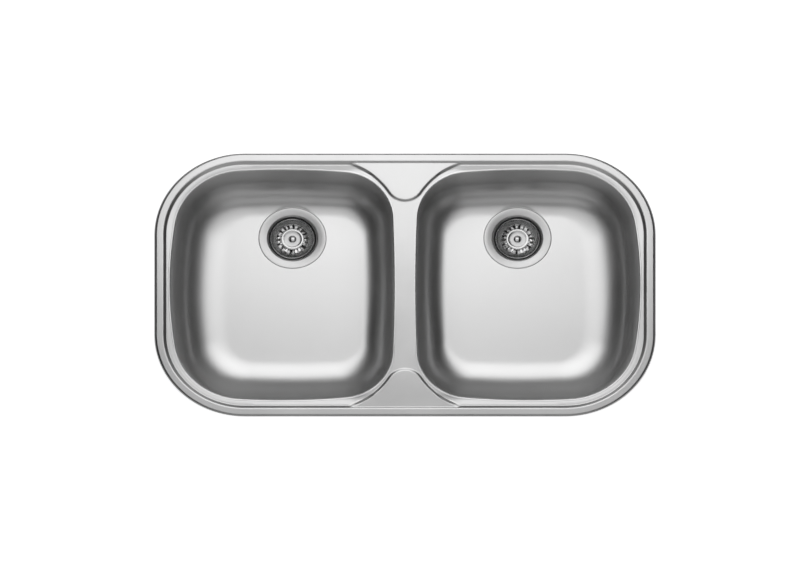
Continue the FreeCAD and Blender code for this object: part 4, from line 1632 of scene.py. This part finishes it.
    def build(self) -> Piece:
        """Model the sheet: the rim's loops, then the level part cut round both mouths and along the platforms.

        Returns:
            The finished mesh.
        """
        rings = []
        for inset, height in self._rim_profile():
            stepped = inset > self.band
            loop = self._loop(inset)
            rings.append([(x, y, self.step_level(x, y, height) if stepped else height) for x, y in loop])
        skin = np.array(rings)
        piece = Bench.join([Bench.loft("rim", skin), self._inner(skin[-1])], "deck_skin")
        Bench.tidy(piece)
        Bench.face_up(piece)
        Bench.apply(piece, "SOLIDIFY", thickness=self.sheet * MM, offset=-1.0)
        Bench.shade(piece)
        Bench.apply(piece, "WEIGHTED_NORMAL", keep_sharp=True)
        self._shade(piece)
        return piece

    def _shade(self, piece: Piece) -> None:
        """Shade the sheet inside the rim by its true slopes, not by its faces.

        Args:
            piece: the finished sheet.
        """
        mesh = piece.data
        normals = [Vector(corner.vector) for corner in mesh.corner_normals]
        start, small = self.foot + self.shade_start, self.shade_probe
        for face in mesh.polygons:
            if abs(face.normal.z) < self.wall_normal:
                continue
            for corner in face.loop_indices:
                x, y, _ = mesh.vertices[mesh.loops[corner].vertex_index].co / MM
                if self.inset(x, y) < start:
                    continue
                across = (self.level(x + small, y) - self.level(x - small, y)) / (2 * small)
                along = (self.level(x, y + small) - self.level(x, y - small)) / (2 * small)
                way = Vector((-across, -along, 1.0)).normalized()
                normals[corner] = way if face.normal.z > 0 else -way
        mesh.normals_split_custom_set(normals)

    def _inner(self, boundary: np.ndarray) -> Piece:
        """The sheet inside the rim.

        Args:
            boundary: the rim's last ring in mm.

        Returns:
            The open sheet.
        """
        lines = Lines()
        lines.add(boundary[:, :2], closed=True)
        far_x, near_y = self.line_reach
        for inset in self.ledge_lines:
            loop = self._loop(inset)
            for side in Side:
                lines.add((x, y) for x, y in loop if side.value * y > near_y and abs(x) < far_x)
        mouth, outward = Bowl(Hand.RIGHT).mouth.points()
        mouths = []
        for hand in reversed(Hand):
            mirror = np.array([hand.value, 1.0])
            mouths.append((mouth + outward * self.lip_gap) * mirror)
            lines.add(mouths[-1], closed=True)
            ring = (mouth + outward * self.ring_gap) * mirror
            lines.add(point for point in ring if self.inset(*point) > self.ledge_start + self.ring_clear)
        run = self.platform_run
        for depth in (*self.platform_lines, run / 2, *(run - line for line in reversed(self.platform_lines))):
            for side in Side:
                lines.add(self._platform_line(depth, side))
        places, _, faces, *_ = delaunay_2d_cdt(lines.spots, lines.edges, [], 1, self.line_merge)
        kept = []
        for face in faces:
            x = sum(places[index].x for index in face) / 3.0
            y = sum(places[index].y for index in face) / 3.0
            if not any(self._within(ring, x, y) for ring in mouths):
                kept.append(face)
        mesh = bpy.data.meshes.new("inner")
        mesh.from_pydata([(p.x * MM, p.y * MM, self.level(p.x, p.y) * MM) for p in places], [], kept)
        sheet = bpy.data.objects.new("inner", mesh)
        bpy.context.scene.collection.objects.link(sheet)
        with Bench.editing(sheet):
            bpy.ops.mesh.delete_loose()
        return sheet

    def _platform_line(self, depth: float, side: Side) -> list[Pair]:
        """A line along a platform at one distance in from its foot.

        Args:
            depth: the distance in mm.
            side: the edge that the platform is on.

        Returns:
            The points from one end at the rim to the other.
        """
        side_start, side_steps, nose_steps = 60.0, 60, 26
        centre_x, centre_y = self.hollow_centre
        touch = math.degrees(math.atan2(self.nose_centre - centre_y, -centre_x))
        half = arc(self.hollow_centre, self.hollow + depth, side_start, touch, side_steps)
        start = self.ledge_start + self.platform_clear
        half = [point for point in half if self.inset(*point) > start and point[0] < self.platform_reach]
        tip = math.degrees(math.atan2(centre_y - self.nose_centre, centre_x))
        nose = arc((0.0, self.nose_centre), self.nose - depth, tip, -180.0 - tip, nose_steps)
        line = half + nose[1:-1] + [(-x, y) for x, y in reversed(half)]
        return [(x, side.value * y) for x, y in line]

    @staticmethod
    def _within(ring: np.ndarray, x: float, y: float) -> bool:
        """Tell whether a point lies inside a closed ring.

        Args:
            ring: the ring's points.
            x: place in mm.
            y: place in mm.

        Returns:
            True inside.
        """
        ahead = np.roll(ring, -1, axis=0)
        span = (ring[:, 1] > y) != (ahead[:, 1] > y)
        with np.errstate(divide="ignore", invalid="ignore"):
            crossing = (ahead[:, 0] - ring[:, 0]) * (y - ring[:, 1]) / (ahead[:, 1] - ring[:, 1]) + ring[:, 0]
        return bool(np.count_nonzero(span & (x < crossing)) % 2)

    def dress(self, piece: Piece) -> None:
        """Finish the sheet and the foam."""
        settle(piece, SINK, DECK_STEEL, "deck")
        dress_solid("rim_seal", FOAM)


# ---------------------------------------------------------------------------
# Studio
# ---------------------------------------------------------------------------


@dataclass(frozen=True)
class Softbox:
    """One soft light near the sink."""

    name: str
    width: float
    depth: float
    place: Triple
    aim: Triple
    level: float

    def build(self) -> None:
        """Hang the light."""
        light = bpy.data.lights.new(self.name, "AREA")
        light.shape = "RECTANGLE"
        light.size = self.width
        light.size_y = self.depth
        light.energy = self.level * math.pi * self.width * self.depth
        holder = bpy.data.objects.new(self.name, light)
        holder.location = self.place
        way = Vector(self.aim) - Vector(self.place)
        holder.rotation_mode = "QUATERNION"
        holder.rotation_quaternion = way.to_track_quat("-Z", "Y")
        bpy.context.scene.collection.objects.link(holder)


@dataclass
class Studio:
    """Pale floor, soft lights, dim surroundings and the camera."""

    floor_height: float = -0.28
    floor_size: float = 30.0
    floor_colour: float = 0.85
    floor_glow: float = 0.86
    floor_mirror: float = 0.5
    floor_fill: float = 0.4
    surround: float = 0.02
    horizon: float = 0.5
    horizon_fall: Pair = (0.26, 0.45)
    corner_weight: float = 4.0
    end_weight: float = 0.3
    lights: tuple[Softbox, ...] = (
        Softbox("top_light", 1.1, 1.5, (0.0, 0.82, 1.0), (0.0, 0.82, 0.0), 1.8),
        Softbox("front_light", 1.1, 0.7, (0.0, -0.32, 1.0), (0.0, -0.32, 0.0), 0.88),
        Softbox("low_light", 1.3, 0.5, (0.0, -1.15, 0.72), (0.0, 0.1, -0.15), 0.6),
    )
    tilt: float = 5.4
    squeeze: float = 25.03
    away: float = 3.0
    picture_width: float = 810 / 501.54
    sink_width: float = 0.86

    def build(self) -> None:
        """Set the stage."""
        self._floor()
        for light in self.lights:
            light.build()
        self._surround()
        bpy.context.scene.view_settings.view_transform = "Standard"
        self._camera()

    def _surround(self) -> None:
        """Close the studio: white to the eye, dim overhead and paler near the horizon, but not at the sides."""
        world = bpy.data.worlds.new("surround")
        world.use_nodes = True
        wire = Wiring(world.node_tree)
        way = wire.put("TexCoord", {})
        x, y, z = wire.put("SeparateXYZ", {0: way.outputs["Generated"]}).outputs
        corner = wire.math("MULTIPLY_ADD", wire.math("MULTIPLY", x, x), self.corner_weight, self.end_weight)
        ends = wire.math("MULTIPLY", corner, wire.math("MULTIPLY", y, y))
        start, end = self.horizon_fall
        span = {"From Min": start, "From Max": end, "To Min": self.horizon, "To Max": 0.0}
        fall = wire.put("MapRange", {"Value": z, **span}, interpolation_type="SMOOTHSTEP")
        low = wire.math("MULTIPLY_ADD", ends, fall.outputs["Result"], self.surround)
        path = wire.put("LightPath", {})
        seen = wire.math("MAXIMUM", low, path.outputs["Is Camera Ray"])
        wire.feed(wire.tree.nodes["Background"], {"Color": (1.0, 1.0, 1.0, 1.0), "Strength": seen})
        bpy.context.scene.world = world

    def _floor(self) -> None:
        """Lay the floor: white to the eye but for the shadow, pale to the light and clear from below."""
        Bench.clear()
        bpy.ops.mesh.primitive_plane_add(size=self.floor_size, location=(0, 0, self.floor_height))
        floor = bpy.context.object
        floor.name = "floor"
        material = bpy.data.materials.new("pale_floor")
        material.use_nodes = True
        wire = Wiring(material.node_tree)
        wire.tree.nodes.clear()
        path = wire.put("LightPath", {})
        strength = wire.math("MULTIPLY", path.outputs["Is Camera Ray"], self.floor_glow)
        for ray, level in (
            ("Is Transmission Ray", self.floor_glow),
            ("Is Glossy Ray", self.floor_mirror),
            ("Is Diffuse Ray", self.floor_fill),
        ):
            strength = wire.math("MAXIMUM", strength, wire.math("MULTIPLY", path.outputs[ray], level))
        glow = wire.put("Emission", {"Strength": strength})
        matt = wire.put("BsdfDiffuse", {"Color": (*[self.floor_colour] * 3, 1.0)})
        top = wire.put("AddShader", {0: matt.outputs[0], 1: glow.outputs[0]})
        below = wire.put("NewGeometry", {}).outputs["Backfacing"]
        clear = wire.put("BsdfTransparent", {})
        whole = wire.put("MixShader", {0: below, 1: top.outputs[0], 2: clear.outputs[0]})
        wire.put("OutputMaterial", {"Surface": whole.outputs[0]})
        floor.data.materials.append(material)

    def _camera(self) -> None:
        """Place the camera: level rays, tilted to the front, on a rig that squeezes the picture's height."""
        tilt, squeeze = math.radians(self.tilt), math.radians(self.squeeze)
        towards = np.array([0.0, -math.sin(tilt), math.cos(tilt)])
        upward = np.array([0.0, math.cos(tilt), math.sin(tilt)])
        across = math.cos(squeeze) * np.array([1.0, 0.0, 0.0]) + math.sin(squeeze) * towards
        first, scale, second = np.linalg.svd(np.stack([across, upward, towards], axis=1))
        if np.linalg.det(first) < 0:
            first[:, 2] *= -1
            second[2, :] *= -1
        rig = bpy.data.objects.new("camera_rig", None)
        rig.scale = scale.tolist()
        rig.location = (towards * self.away).tolist()
        camera = bpy.data.objects.new("camera", bpy.data.cameras.new("camera"))
        camera.parent = rig
        camera.data.type = "ORTHO"
        camera.data.ortho_scale = self.sink_width / math.cos(squeeze) * self.picture_width
        for item, turn in ((rig, first), (camera, second)):
            item.rotation_mode = "QUATERNION"
            item.rotation_quaternion = Matrix(turn.tolist()).to_quaternion()
            bpy.context.scene.collection.objects.link(item)
        bpy.context.scene.camera = camera


def main() -> None:
    """Build the sink piece by piece and set its stage."""
    logging.basicConfig(level=logging.INFO, format="%(message)s")
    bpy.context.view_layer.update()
    Studio().build()
    deck = Deck()
    deck.dress(deck.build())
    for hand in Hand:
        bowl = Bowl(hand)
        bowl.dress(bowl.build())
        strainer = Strainer(hand)
        strainer.dress(strainer.build())
        pad = SoundPad(hand)
        pad.dress(pad.build())
    clips = Clips()
    clips.dress(clips.bolts(), clips.nuts())


if __name__ == "__main__":
    main()
